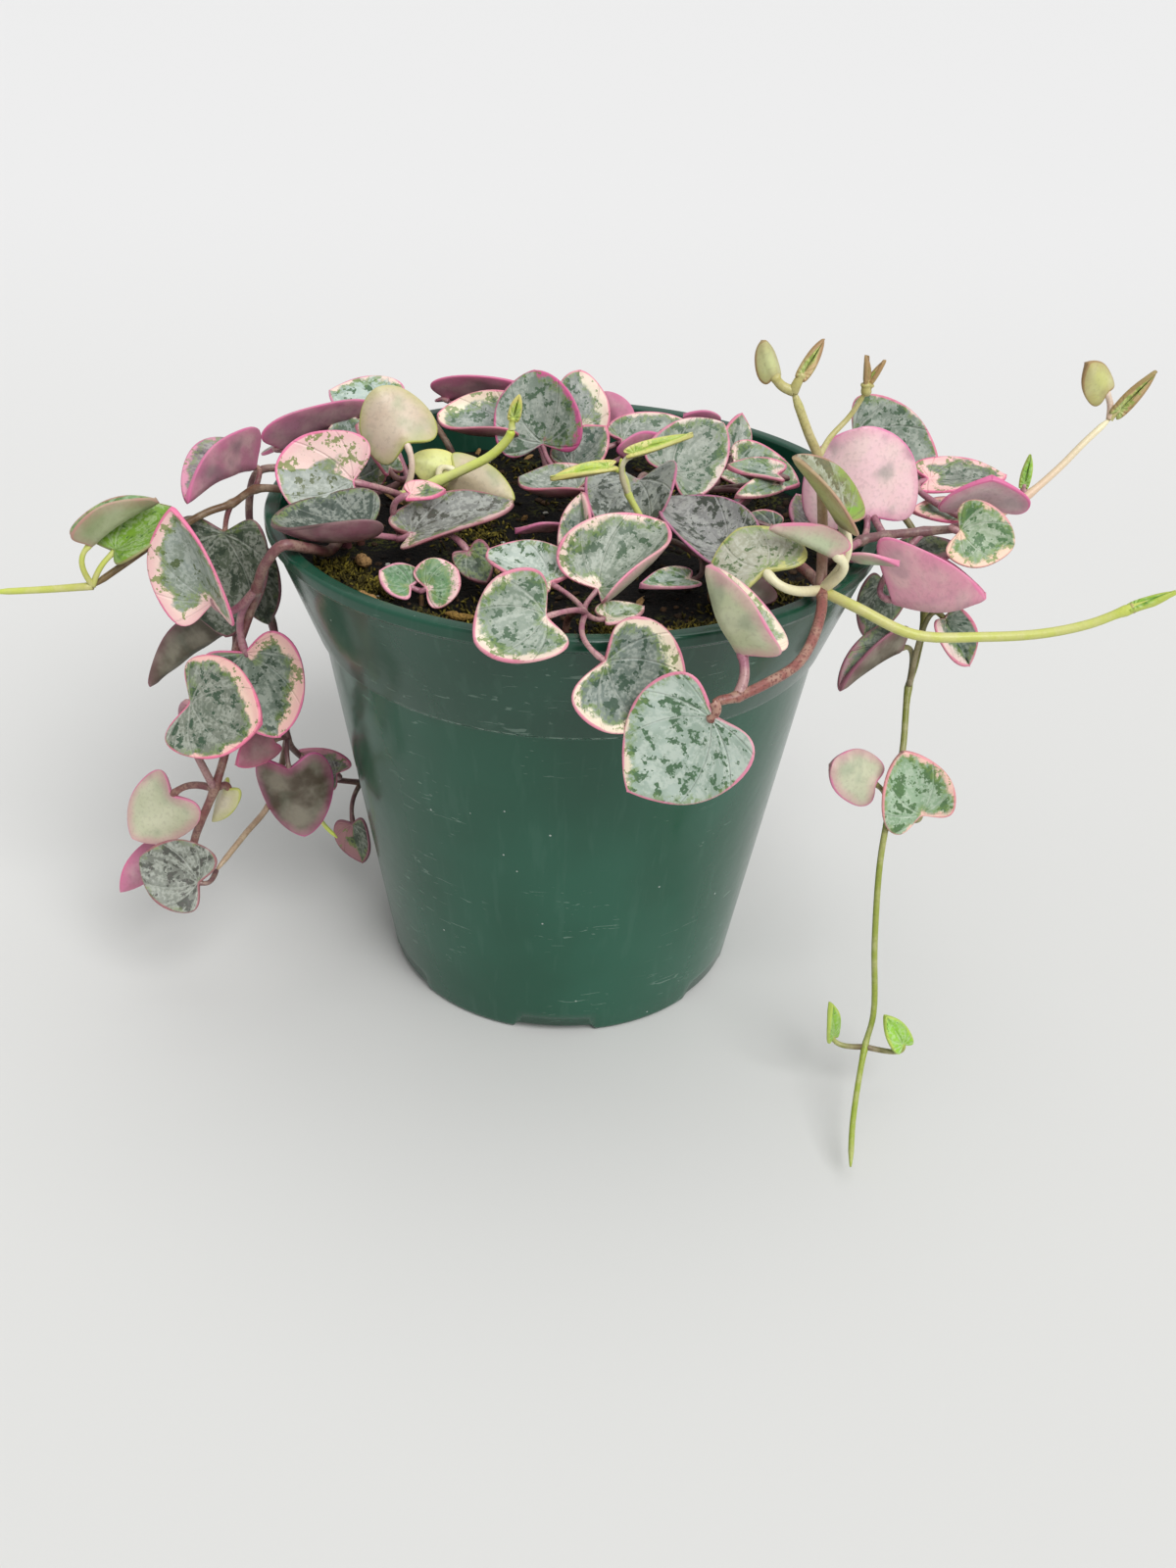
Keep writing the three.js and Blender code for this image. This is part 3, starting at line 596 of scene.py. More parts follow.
@dataclass(frozen=True)
class PlasticFinish:
    """Dark green glossy plastic with a rubbed line under the collar, dust, a few scratches, painted
    shade on the collar and faint painted upright reflections.

    Attributes:
        colour: Colour of the plastic.
        light: Colour of its lighter clouds.
        collar: What the collar tends to, a painted shade standing in for the shadow of the leaves
            over it.
        upright_reflection: What the faint upright streaks of painted reflection tend to.
        rubbed: Colour where an edge is rubbed pale.
        dust: Colour of the specks of dust.
        scratched: Colour of the scratches.
        seam: Height of the step under the collar in millimetres.
    """

    colour: Rgb = (20, 76, 56)
    light: Rgb = (27, 84, 64)
    collar: Rgb = (10, 44, 32)
    upright_reflection: Rgb = (90, 126, 110)
    rubbed: Rgb = (166, 188, 174)
    dust: Rgb = (200, 208, 202)
    scratched: Rgb = (140, 164, 150)
    seam: float = 72.5

    def make(self) -> Material:
        """Build the material.

        Returns:
            The material.
        """
        w = Wiring("pot_plastic")
        where = w.place()
        height = w.parts(where)[2]
        broad, rough = w.noise(where, 0.04, 2.0), w.noise(where, 0.5, 4.0)
        base = w.mix(w.step(broad, 0.38, 0.66), self.colour, self.light)
        # Painted shade: the collar is darkened towards the collar colour, standing in for the
        # shadow of the leaves above it.
        above = w.step(height, self.seam - 0.6, self.seam + 0.2)
        base = w.mix(w.times(above, 0.4), base, self.collar)
        # Painted reflection: faint upright streaks of lighter green stand in for reflections on the
        # glossy wall.
        streak = w.noise(w.stretch(where, (1.0, 1.0, 0.02)), 0.5, 2.0)
        base = w.mix(w.times(w.step(streak, 0.56, 0.74), 0.08), base, self.upright_reflection)
        off_seam = w.math("ABSOLUTE", w.minus(height, self.seam - 0.3))
        seam = w.times(w.below(off_seam, 0.1, 0.4), w.step(rough, 0.4, 0.52))
        base = w.mix(w.times(seam, 0.7), base, self.rubbed)
        dots = w.cells(where, 0.3)
        kept = w.step(w.noise(dots.outputs["Position"], 0.9, 1.0), 0.58, 0.6)
        speck = w.times(w.below(dots.outputs["Distance"], 0.04, 0.07), kept)
        base = w.mix(w.times(speck, 0.7), base, self.dust)
        scratch = w.noise(w.stretch(where, (0.5, 0.5, 3.0)), 0.4, 4.0, 1.2)
        area = w.step(w.noise(where, 0.05, 1.0), 0.52, 0.6)
        scratch = w.times(w.step(scratch, 0.655, 0.67), area)
        base = w.mix(w.times(scratch, 0.3), base, self.scratched)
        w.shade(base_color=base, roughness=w.plus(0.14, w.times(rough, 0.12)),
                specular_ior_level=0.5)
        w.bump(w.noise(where, 0.22, 3.0), 0.12, 0.5)
        return w.material


@dataclass(frozen=True)
class MixFinish:
    """Damp potting mix: near-black crumb with browner flecks and mossy patches in places.

    Attributes:
        crumb: Colour of the crumb.
        fleck: Colour of the flecks.
        moss: What the mossy places tend to.
    """

    crumb: Rgb = (5, 5, 5)
    fleck: Rgb = (27, 21, 16)
    moss: Rgb = (76, 80, 22)

    def make(self) -> Material:
        """Build the material.

        Returns:
            The material.
        """
        w = Wiring("potting_mix")
        where = w.place()
        fine, broad = w.noise(where, 1.3, 5.0), w.noise(where, 0.12, 2.0)
        colour = w.mix(w.step(fine, 0.4, 0.75), self.crumb, self.fleck)
        mossy = w.times(w.step(broad, 0.53, 0.64), w.step(fine, 0.45, 0.6))
        colour = w.mix(w.times(mossy, 0.6), colour, self.moss)
        w.shade(base_color=colour, roughness=0.85, specular_ior_level=0.25)
        w.bump(fine, 0.8, 1.0)
        return w.material


@dataclass(frozen=True)
class BitFinish:
    """Loose bits of bark, wood, moss and white grit, each of its own tint.

    Attributes:
        grime: What the darker grain tends to.
    """

    grime: Rgb = (20, 15, 10)

    def make(self) -> Material:
        """Build the material.

        Returns:
            The material.
        """
        w = Wiring("mix_bits")
        grain = w.noise(w.place(), 2.4, 4.0)
        tint = w.read("tint", "Color")
        colour = w.mix(w.step(grain, 0.36, 0.62), w.mix(0.45, tint, self.grime), tint)
        w.shade(base_color=colour, roughness=0.85, specular_ior_level=0.25)
        w.bump(grain, 0.3, 1.0)
        return w.material


@dataclass(frozen=True)
class FloorFinish:
    """The plain pale floor, painted a little lighter far behind than in front to stand in for how
    the light falls on it.

    Attributes:
        near: Colour in front.
        far: Colour behind.
        start: Place along Y in millimetres where the near colour ends.
        end: Place along Y where the far colour begins.
    """

    near: Rgb = (208, 208, 206)
    far: Rgb = (216, 216, 216)
    start: float = -60.0
    end: float = 700.0

    def make(self) -> Material:
        """Build the material.

        Returns:
            The material.
        """
        w = Wiring("floor_paper")
        # Painted light: the floor's colour brightens from front to back, standing in for the
        # light's falloff.
        behind = w.step(w.parts(w.place())[1], self.start, self.end)
        w.shade(base_color=w.mix(behind, self.near, self.far), roughness=0.8,
                specular_ior_level=0.15)
        return w.material


# ---- The plant ----------------------------------------------------------------------------


@dataclass(frozen=True)
class Tones:
    """Colours of one kind of leaf, and how thickly its blotches stand.

    Attributes:
        ground: Its upper side.
        blotch: Its dark blotches.
        cream: Its pale margin.
        rim: The line along its edge.
        under: Its underside.
        spots: How thickly the blotches stand, from 0 to 1.
    """

    ground: Rgb
    blotch: Rgb
    cream: Rgb
    rim: Rgb
    under: Rgb
    spots: float


class Coat(Enum):
    """The kinds of leaf on this plant, two of them darkened copies that paint shade on leaves lying
    in shadow.
    """

    FROST = Tones((182, 192, 182), (74, 108, 72), (242, 236, 210),
                  (222, 130, 164), (184, 192, 160), 0.5)
    SAGE = Tones((142, 152, 142), (74, 98, 74), (236, 226, 204),
                 (212, 118, 148), (152, 112, 114), 0.5)
    SLATE = Tones((112, 124, 116), (52, 80, 62), (238, 226, 204),
                  (212, 118, 146), (144, 98, 106), 0.5)
    PETAL = Tones((116, 126, 114), (56, 78, 58), (236, 204, 190),
                  (220, 106, 148), (160, 106, 116), 0.5)
    BLUSH = Tones((150, 158, 152), (86, 100, 50), (242, 208, 204),
                  (226, 108, 156), (166, 108, 126), 0.34)
    FERN = Tones((112, 148, 100), (62, 96, 62), (190, 196, 150),
                 (170, 130, 120), (140, 150, 110), 0.5)
    GREEN = Tones((120, 158, 50), (84, 124, 40), (160, 186, 84),
                  (130, 120, 76), (150, 160, 90), 0.35)
    LIME = Tones((192, 208, 92), (150, 182, 50), (222, 222, 150),
                 (206, 196, 112), (212, 212, 142), 0.2)
    MAUVE = Tones((128, 116, 118), (90, 80, 86), (206, 150, 164),
                  (208, 104, 148), (180, 120, 140), 0.3)
    ROSE = Tones((146, 160, 150), (74, 98, 78), (244, 214, 206),
                 (226, 124, 166), (240, 200, 202), 0.3)
    ORCHID = Tones((198, 152, 164), (90, 90, 88), (226, 160, 180),
                   (214, 116, 156), (206, 144, 162), 0.3)
    # Painted shade: a darkened copy of a slate or sage coat, with dulled margin and rim, for leaves
    # that lie in shadow.
    IN_SHADE = Tones((78, 92, 74), (46, 60, 46), (160, 118, 122),
                 (138, 82, 98), (86, 76, 60), 0.45)
    OLIVE = Tones((154, 164, 146), (84, 108, 72), (234, 226, 200),
                  (220, 124, 160), (184, 192, 158), 0.6)
    BEIGE = Tones((186, 194, 166), (124, 142, 92), (228, 210, 198),
                  (180, 182, 92), (198, 182, 158), 0.25)
    MOTTLED = Tones((150, 172, 140), (76, 116, 66), (236, 206, 184),
                    (222, 142, 150), (172, 176, 146), 0.62)
    ALOE = Tones((162, 168, 146), (98, 112, 74), (200, 202, 120),
                 (178, 176, 100), (190, 198, 136), 0.6)
    GRASS = Tones((140, 186, 60), (96, 150, 30), (176, 206, 90),
                  (170, 190, 80), (180, 200, 110), 0.3)
    ASH = Tones((184, 166, 164), (120, 100, 108), (222, 140, 170),
                (214, 104, 152), (200, 172, 172), 0.2)
    UMBER = Tones((96, 104, 88), (58, 66, 48), (190, 130, 146),
                  (196, 92, 136), (76, 66, 50), 0.4)
    ASHEN = Tones((126, 130, 122), (78, 76, 70), (220, 186, 180),
                  (156, 94, 104), (156, 116, 118), 0.6)
    VIOLET = Tones((142, 144, 142), (62, 68, 60), (206, 170, 180),
                   (196, 112, 152), (150, 98, 118), 0.55)
    SPROUT = Tones((100, 142, 96), (64, 104, 60), (232, 204, 198),
                   (222, 150, 168), (190, 170, 150), 0.35)
    BUD = Tones((182, 192, 112), (130, 148, 66), (196, 168, 120),
                (160, 124, 84), (188, 194, 124), 0.3)
    FUCHSIA = Tones((136, 148, 136), (74, 98, 74), (200, 96, 146),
                    (206, 92, 144), (132, 70, 98), 0.5)
    # Painted shade: a still darker copy of a coat, for a leaf deep in shadow.
    SHADED = Tones((70, 82, 72), (38, 54, 42), (150, 120, 110),
                   (92, 66, 66), (164, 108, 124), 0.5)
    VERDANT = Tones((150, 152, 128), (112, 108, 78), (126, 160, 62),
                    (176, 130, 112), (182, 190, 112), 0.6)
    HALO = Tones((140, 150, 140), (70, 96, 70), (238, 230, 208),
                 (216, 122, 152), (206, 204, 178), 0.55)


class Tint(Enum):
    """Colours of stems from their foot to their tip, and how strongly they are speckled."""

    BROWN = ((104, 66, 62), (112, 92, 54), 0.5)
    RUSSET = ((150, 92, 88), (132, 78, 70), 0.9)
    MAUVE = ((150, 98, 112), (168, 112, 128), 0.5)
    PLUM = ((104, 72, 74), (122, 86, 88), 0.5)
    CREAM = ((214, 204, 164), (228, 224, 188), 0.12)
    PINK = ((214, 186, 160), (226, 204, 190), 0.2)
    OLIVE = ((118, 106, 76), (122, 126, 66), 0.3)
    RUNNER = ((186, 184, 104), (192, 204, 90), 0.06)
    SHOOT = ((178, 172, 112), (182, 174, 106), 0.2)
    UPRIGHT = ((148, 96, 98), (190, 186, 116), 0.35)
    FRESH = ((222, 222, 164), (198, 214, 72), 0.04)
    TRAIL = ((104, 82, 66), (150, 168, 60), 0.25)
    WINE = ((108, 62, 70), (132, 84, 78), 0.6)
    CANE = ((206, 168, 146), (236, 228, 190), 0.08)
    ROOT = ((120, 92, 84), (176, 152, 124), 0.35)


@dataclass(frozen=True)
class Leaf:
    """One leaf, by the stem and point that its stalk leaves and by where it lies.

    Attributes:
        stem: Number of the stem.
        point: Number of the stem's point.
        base: The notch of its heart in millimetres.
        tip: Its tip.
        faces: The way that its upper side faces.
        wide: Width as a share of its length.
        fold: Angle of each half blade at the midrib in degrees.
        curl: Further angle that each half has gained at its edge in degrees.
        coat: Its kind.
        band: The pale margin's mean width and swing in millimetres, and where it is widest, in
            degrees around the leaf from the notch, to the right of the upper side if positive.
        stalk: Tint of its stalk, or the vine's where there is none.
        lean: Angle in degrees that the right half folds more, and the left half less.
        arch: Height of its lengthwise arch as a share of its length, below zero where hollow.
        blunt: How round the tip is, from 0 to 1.
    """

    stem: int
    point: int
    base: Point
    tip: Point
    faces: Point
    wide: float
    fold: float
    curl: float
    coat: Coat
    band: tuple[float, float, float] = (0.5, 0.8, 150.0)
    stalk: Tint | None = None
    lean: float = 0.0
    arch: float = 0.0
    blunt: float = 0.0


@dataclass(frozen=True)
class Stem:
    """A stem by its radius, its points in millimetres and its tint."""

    radius: float
    points: tuple[Point, ...]
    tint: Tint


@dataclass(frozen=True)
class Vine:
    """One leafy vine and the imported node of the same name.

    Attributes:
        name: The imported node.
        stalk: Radius of its leaf stalks in millimetres.
        tint: Tint of its leaf stalks.
        stems: Its stems, of which the first stands in the mix.
        leaves: Its leaves.
    """

    name: str
    stalk: float
    tint: Tint
    stems: tuple[Stem, ...]
    leaves: tuple[Leaf, ...]


@dataclass(frozen=True)
class Chip:
    """A bark chip by its two ends, thickness and colour."""

    start: Point
    end: Point
    thick: float
    colour: Rgb


VINES: tuple[Vine, ...] = (
    Vine("vine_left_far", 0.5, Tint.WINE, (
        Stem(0.75, ((-38, -4, 80), (-38, -4, 88), (-43, -5, 94), (-49, -7, 96.4), (-55, -7, 96.4),
            (-59, -8, 94), (-63, -10, 93), (-71, -14, 89), (-76, -17, 86),
            (-81, -20, 83)), Tint.BROWN),
        Stem(0.7, ((-81, -20, 83), (-89, -20, 82), (-99, -20, 81)), Tint.RUNNER),
    ), (
        Leaf(0, 9, (-80.5, -20, 90.6), (-70, -14, 96.6), (0, 1, 3), 0.86, 50, 0,
             Coat.FERN, (0.2, 0.5, 120), Tint.RUNNER),
        Leaf(0, 9, (-77.2, -18, 88.6), (-68.6, -11, 94), (0, -1, 3), 1.15, 18, 10,
             Coat.GREEN, (-0.5, 0.2, 0), Tint.RUNNER),
        Leaf(0, 5, (-60.4, -9, 89.3), (-60.4, -15, 71.8), (-2, -8, 5), 1.04, 10, 12,
             Coat.IN_SHADE, (-0.8, 0.3, 0), blunt=0.3),
        Leaf(0, 4, (-56, -2, 98.5), (-65, -15, 97), (-2, 1, 4), 1.1, 55, 0,
             Coat.MAUVE, (0.3, 0.6, 150)),
    )),
    Vine("vine_left_hanging", 0.7, Tint.WINE, (
        Stem(0.95, ((-40, -6, 80), (-40, -6, 87.8), (-41, -16, 89.6), (-42.4, -26.6, 94.6),
            (-46, -29.6, 96.3), (-49.5, -28, 92), (-52, -24, 86), (-54, -19, 81), (-59, -16.5, 68),
            (-61, -13, 60), (-62, -16, 50), (-64, -20, 43), (-67, -20, 36), (-69, -19, 31),
            (-70, -19, 27)), Tint.WINE),
    ), (
        Leaf(0, 6, (-60.6, -20, 80.8), (-65.9, -21, 98.3), (-1, -8, 4), 0.98, 26, 12,
             Coat.BLUSH, (1.5, 0.9, -60), Tint.MAUVE, lean=25, arch=-0.06),
        Leaf(0, 8, (-62, -9, 70), (-77.5, -8, 57.5), (0, 2, 3), 0.6, 55, 0,
             Coat.IN_SHADE, (0.4, 0.5, 150)),
        Leaf(0, 6, (-56.5, -18.5, 71), (-50.5, -22, 56), (0, -8, 5), 1.1, 8, 20,
             Coat.PETAL, (1, 1.5, -100), Tint.MAUVE, arch=-0.08, blunt=0.5),
        Leaf(0, 11, (-64.5, -27, 65), (-51, -34, 65.5), (0, -8, 5), 1.2, 6, 14,
             Coat.PETAL, (0.7, 1.9, -150), Tint.MAUVE, arch=-0.05, blunt=0.6),
        Leaf(0, 11, (-71.8, -20, 41.4), (-79.4, -22.5, 32.8), (0, 8, -5), 1.15, 8, 16,
             Coat.OLIVE, (0.6, 0.6, 150), blunt=0.7),
        Leaf(0, 11, (-62, -18, 42), (-65, -19, 35), (1, 1, 0), 0.8, 20, 10, Coat.BEIGE),
        Leaf(0, 14, (-77, -18, 26.5), (-83.6, -22, 20), (0, 1, 0), 0.64, 10, 10, Coat.MAUVE),
    )),
    Vine("vine_left_back", 0.5, Tint.PLUM, (
        Stem(0.75, ((-43, 4, 80), (-43, 4, 88), (-47, 3, 94), (-50, 2, 96.5), (-56, 1, 96.5),
            (-58, 0, 90), (-57, -1, 80), (-55, -2, 68), (-53, -4, 56), (-53, -6, 46),
            (-51, -2, 39), (-47, 4, 31), (-42, 9, 27), (-39, 14, 23)), Tint.PLUM),
        Stem(0.7, ((-53, -6, 46), (-55, -6, 38), (-57, -9, 32.5), (-60, -17, 31),
            (-64, -25, 28)), Tint.ROOT),
        Stem(0.5, ((-51, -2, 39), (-50, -2, 31), (-48, -3, 25), (-45, -4, 22)), Tint.FRESH),
    ), (
        Leaf(0, 7, (-58, -2, 81), (-55, -5, 69.5), (0.3, -2, 0.5), 0.8, 15, 10,
             Coat.IN_SHADE, (-0.8, 0.2, 0)),
        Leaf(0, 9, (-55, -9, 47), (-61, -15, 45), (0, 1, 0), 0.8, 10, 10,
             Coat.PETAL, (1.2, 0.8, 150)),
        Leaf(0, 9, (-52, -11, 42.5), (-49.5, -13, 28.5), (0, 8, -5), 1.1, 12, 26,
             Coat.UMBER, (0.2, 0.4, 90), blunt=0.6),
        Leaf(0, 11, (-45.2, 0, 34.8), (-51.6, -3, 41.4), (-1, -2, 2), 0.9, 20, 10, Coat.MAUVE),
        Leaf(0, 12, (-42.8, 2, 21.8), (-40.6, -0.6, 13.8), (-1, -2, 1), 1, 15, 10,
             Coat.IN_SHADE, (1, 1.6, 100)),
        Leaf(1, 4, (-66, -29, 28), (-77, -27, 32), (0, -8, 5), 1.15, 5, 16,
             Coat.ASHEN, (-1, 0.3, 150), blunt=0.5),
    )),
    Vine("crown_left", 0.6, Tint.MAUVE, (
        Stem(0.95, ((-28, 4, 80), (-28, 4, 88), (-30, 0, 93), (-30, -4, 95), (-23.5, -4, 98.2),
            (-18.5, -4, 100.8), (-14.5, -4, 103.2), (-11.6, -4, 106.4),
            (-11, -4, 108)), Tint.FRESH),
        Stem(0.6, ((-28, 4, 88), (-31, 12, 92), (-34, 20, 94.5), (-36, 26, 95.5)), Tint.MAUVE),
        Stem(0.6, ((-28, 4, 88), (-29, -5, 90), (-29, -13, 91)), Tint.MAUVE),
    ), (
        Leaf(0, 3, (-37, -12, 100.5), (-49.7, -14, 103.6), (0, -8, 5), 1.25, 8, 18,
             Coat.BLUSH, (1.2, 3.6, 110), lean=6, arch=-0.06, blunt=0.9),
        Leaf(2, 2, (-33.8, -20.8, 95), (-49, -23.5, 97.6), (0, -0.4, 4), 1.25, 4, 64,
             Coat.SHADED, (-0.4, 0.5, 170), lean=-8, arch=-0.1, blunt=0.9),
        Leaf(0, 3, (-29.2, -2.5, 104), (-34.8, 1.5, 112.2), (0, 8, -5), 1.3, 10, 26,
             Coat.BEIGE, (0.2, 0.3, 90), Tint.PINK, blunt=1),
        Leaf(0, 4, (-22.6, 3, 97.4), (-29.4, 3, 99.2), (0, 8, -5), 1, 10, 20,
             Coat.LIME, (0.1, 0.3, 90), Tint.CREAM, blunt=0.6),
        Leaf(0, 4, (-21.8, 3, 97.6), (-10.6, 0, 93.6), (0, 8, -5), 0.68, 12, 20,
             Coat.BEIGE, (0.3, 0.5, 180), Tint.CREAM, blunt=0.3),
        Leaf(1, 1, (-34, 8, 95), (-40, 12, 102), (4, -1, 3), 0.9, 10, 10,
             Coat.SAGE, (0.2, 0.4, 90)),
        Leaf(1, 1, (-41, 12, 91), (-43, 18, 102), (1, -3, 1), 1, 10, 10,
             Coat.SAGE, (0.2, 0.4, 90), Tint.MAUVE),
        Leaf(2, 2, (-27.2, -16, 100.2), (-21.2, -15, 100.8), (0, -1, 2), 0.8, 10, 35,
             Coat.PETAL, (0.9, 0.6, 0)),
        Leaf(2, 2, (-27, -19, 94.2), (-10, -13, 98.4), (0, -1, 3), 0.68, 5, 36,
             Coat.ASHEN, (0.5, 1, 60), lean=6, blunt=0.4),
        Leaf(2, 2, (-17, -22, 93.2), (-13.4, -26.5, 89.6), (0, -1, 1), 1, 8, 15,
             Coat.IN_SHADE, (0.4, 0.4, 0)),
        Leaf(1, 3, (-37, 31, 98.5), (-49, 36, 99.5), (0, -1, 2), 1, 10, 10,
             Coat.FROST, (0.2, 0.9, 100)),
        Leaf(0, 8, (-10.8, -4, 110), (-9.8, -4, 114), (0, -1, 0), 0.6, 25, 10,
             Coat.LIME, (-1, 0, 0), Tint.FRESH),
        Leaf(1, 3, (-54.5, 11, 97.4), (-37, 20, 102.4), (0, 9, 10), 0.7, 12, 16,
             Coat.MAUVE, (0.3, 0.5, 180), arch=0.02, blunt=0.6),
    )),
    Vine("crown_back", 0.5, Tint.MAUVE, (
        Stem(0.6, ((-6, 26, 80), (-6, 26, 88), (-8, 30, 93), (-14, 34, 96),
            (-26, 38, 98)), Tint.MAUVE),
        Stem(0.6, ((-6, 26, 88), (-4, 20, 91), (-3, 15, 93)), Tint.MAUVE),
        Stem(0.6, ((-6, 26, 88), (2, 28, 92), (10, 32, 94), (18, 35, 95)), Tint.MAUVE),
    ), (
        Leaf(0, 4, (-27, 39, 98.5), (-10, 40, 100.5), (0, 9, 10), 0.7, 10, 10, Coat.MAUVE),
        Leaf(0, 3, (-12.6, 20, 99.4), (-26.4, 20.5, 101), (0, -1.2, 4), 1.1, 0, 76,
             Coat.SAGE, (0.4, 1.5, 135), arch=-0.06, blunt=0.6),
        Leaf(1, 2, (-6.5, 16, 98), (-8.5, 20.5, 110.6), (0, -8, 5), 1.3, 10, 24,
             Coat.FUCHSIA, (-0.3, 1.5, 100), lean=12, blunt=0.6),
        Leaf(1, 2, (0.6, 5, 94), (-10.4, 6.5, 94.8), (0, -0.3, 4), 1.15, -2, 66,
             Coat.SAGE, (-0.2, 0.4, 0), arch=-0.1, blunt=0.8),
        Leaf(2, 1, (0, 27, 97.5), (-0.6, 32, 107.2), (1, -3, 1), 1.05, 10, 10,
             Coat.SAGE, (0.9, 1.5, 110), blunt=0.9),
        Leaf(2, 2, (8, 38, 95), (4.5, 43, 99.5), (0, 1, 0), 0.9, 10, 10, Coat.MAUVE),
        Leaf(1, 2, (-1, 18, 93), (5, 22, 100), (0, -2, 3), 1.1, 10, 30, Coat.SLATE, (0.1, 0.5, 90)),
        Leaf(2, 2, (8, 29, 94.5), (20, 34, 97.5), (0, -1, 2), 0.75, 10, 10,
             Coat.SAGE, (0.5, 0.7, 180)),
        Leaf(2, 1, (8.5, 19.5, 95), (15.5, 23, 98.5), (0, 1, 1), 0.9, 10, 30, Coat.MAUVE),
        Leaf(2, 3, (26, 38, 95.5), (20, 37, 97.5), (0, 1, 1), 1, 10, 10, Coat.MAUVE),
    )),
    Vine("crown_centre", 0.5, Tint.PLUM, (
        Stem(0.65, ((12, -4, 80), (12, -4, 88), (12.6, -10, 92.5), (11.7, -11, 95.5),
            (9.2, -11, 100), (8.2, -11, 102.8), (7.7, -11, 106.2)), Tint.FRESH),
        Stem(0.6, ((12, -4, 88), (16, 2, 92), (20, 8, 94)), Tint.PLUM),
        Stem(0.6, ((12, -4, 88), (17, -9, 91), (22, -16, 91)), Tint.PLUM),
        Stem(0.6, ((16, 2, 92), (24, 10, 93), (28, 16, 94)), Tint.PLUM),
        Stem(1.1, ((20, 8, 94), (23, 1, 94.4), (26, -3, 96), (29, -8, 95.5)), Tint.BROWN),
    ), (
        Leaf(1, 1, (11.1, -3, 99.4), (9.4, -14, 91.8), (0, -1, 1.4), 1.42, 20, 24,
             Coat.VIOLET, (-0.6, 0.3, 90), lean=-16, blunt=0.4),
        Leaf(0, 4, (5.8, -12, 104.8), (-4, -14, 103.4), (0, -1, 2), 0.32, 35, 20,
             Coat.LIME, (0.1, 0.2, 0), Tint.FRESH),
        Leaf(0, 4, (9.6, -12, 107.4), (19.4, -10, 110.6), (0, -1, 2), 0.28, 35, 20,
             Coat.LIME, (0.1, 0.2, 0), Tint.CREAM),
        Leaf(0, 2, (2, -20, 92), (1.5, -14.5, 101.5), (-1, -2, 0), 0.8, 30, 20,
             Coat.SLATE, (0.8, 0.4, 90)),
        Leaf(1, 2, (17, 6, 97.2), (26, 12, 105), (0, -8, 5), 1.1, 8, 20,
             Coat.SAGE, (0.1, 0.6, 150), arch=-0.06, blunt=0.4),
        Leaf(3, 2, (29, 23, 95), (30.5, 28, 101.5), (1, -3, 1), 0.8, 10, 10,
             Coat.SAGE, (0.1, 0.4, 0)),
        Leaf(2, 2, (26, -21, 94), (15.5, -7, 98), (0, -1, 3), 0.85, 10, 40,
             Coat.VIOLET, (-0.8, 0.2, 0)),
        Leaf(0, 2, (-3, -8, 92), (-10, -10, 92), (0, 1, 2), 0.9, 10, 10, Coat.MAUVE),
        Leaf(2, 2, (32.5, -23, 90.4), (24, -25.5, 89.6), (0, 1, -3), 0.95, 10, 15,
             Coat.IN_SHADE, (0.3, 0.5, 0)),
        Leaf(2, 2, (20, -22, 89.6), (11.5, -26, 90.2), (0, -1, 5), 0.65, 10, 20,
             Coat.FROST, (0.3, 0.8, 0)),
        Leaf(3, 2, (29, 17, 95), (41, 13, 93.6), (0, -1, 2), 0.95, 10, 15,
             Coat.SAGE, (0.6, 0.6, 0)),
        Leaf(3, 2, (36, 5, 98.2), (26.8, 6, 99.2), (0, -1, 3), 0.7, 10, 35,
             Coat.SAGE, (0.5, 0.5, 0)),
        Leaf(3, 1, (31, 4, 94), (25.5, -2, 92.5), (0, 1, 1), 0.85, 10, 10,
             Coat.SAGE, (0.4, 0.6, 0)),
        Leaf(3, 1, (35.5, 3.5, 97), (28, -2, 96.8), (0, -1, 2), 0.5, 10, 10,
             Coat.SAGE, (0.5, 0.5, 0)),
        Leaf(4, 3, (35, -8, 93.5), (29, -6, 94.5), (0, -2, 1), 0.9, 10, 10,
             Coat.SLATE, (-0.4, 0.2, 0)),
    )),
    Vine("vine_front", 0.45, Tint.MAUVE, (
        Stem(0.6, ((0, -36, 80), (0, -36, 88), (2, -42, 93), (3, -46, 94.6)), Tint.RUSSET),
    ), (
        Leaf(0, 3, (6, -57.5, 92.8), (17.5, -56.8, 84.8), (0, -9, 4), 1.3, 6, 16,
             Coat.SLATE, (1.6, 1.1, 180), arch=-0.04, blunt=0.5),
        Leaf(0, 3, (-2.6, -54.4, 98), (-13, -58, 95.4), (0, -8, 5), 1.45, 8, 44,
             Coat.HALO, (0.8, 0.8, -150), lean=-10, blunt=0.5),
        Leaf(0, 3, (-2.5, -37.5, 95.2), (-13, -30, 97), (0, -1, 2.6), 0.9, 10, 42,
             Coat.FROST, (-0.1, 0.5, 0), lean=-6, blunt=0.7),
        Leaf(0, 3, (4.6, -38.6, 95), (15, -31, 103.4), (0, -1, 1.3), 1.25, 8, 74,
             Coat.HALO, (0.6, 0.8, -60), lean=20, arch=-0.06, blunt=0.6),
        Leaf(0, 3, (6, -44.5, 93), (12, -40.5, 93.2), (0, -1, 3), 0.75, 10, 30,
             Coat.FROST, (0.8, 0.5, 0)),
    )),
    Vine("seedling", 0.5, Tint.MAUVE, (
        Stem(0.45, ((-24, -29, 81), (-24, -29, 87), (-24, -29, 89)), Tint.BROWN),
    ), (
        Leaf(0, 2, (-25.6, -29, 89.6), (-31, -27.4, 91.4), (0, -1, 1.4), 1.15, 8, 20,
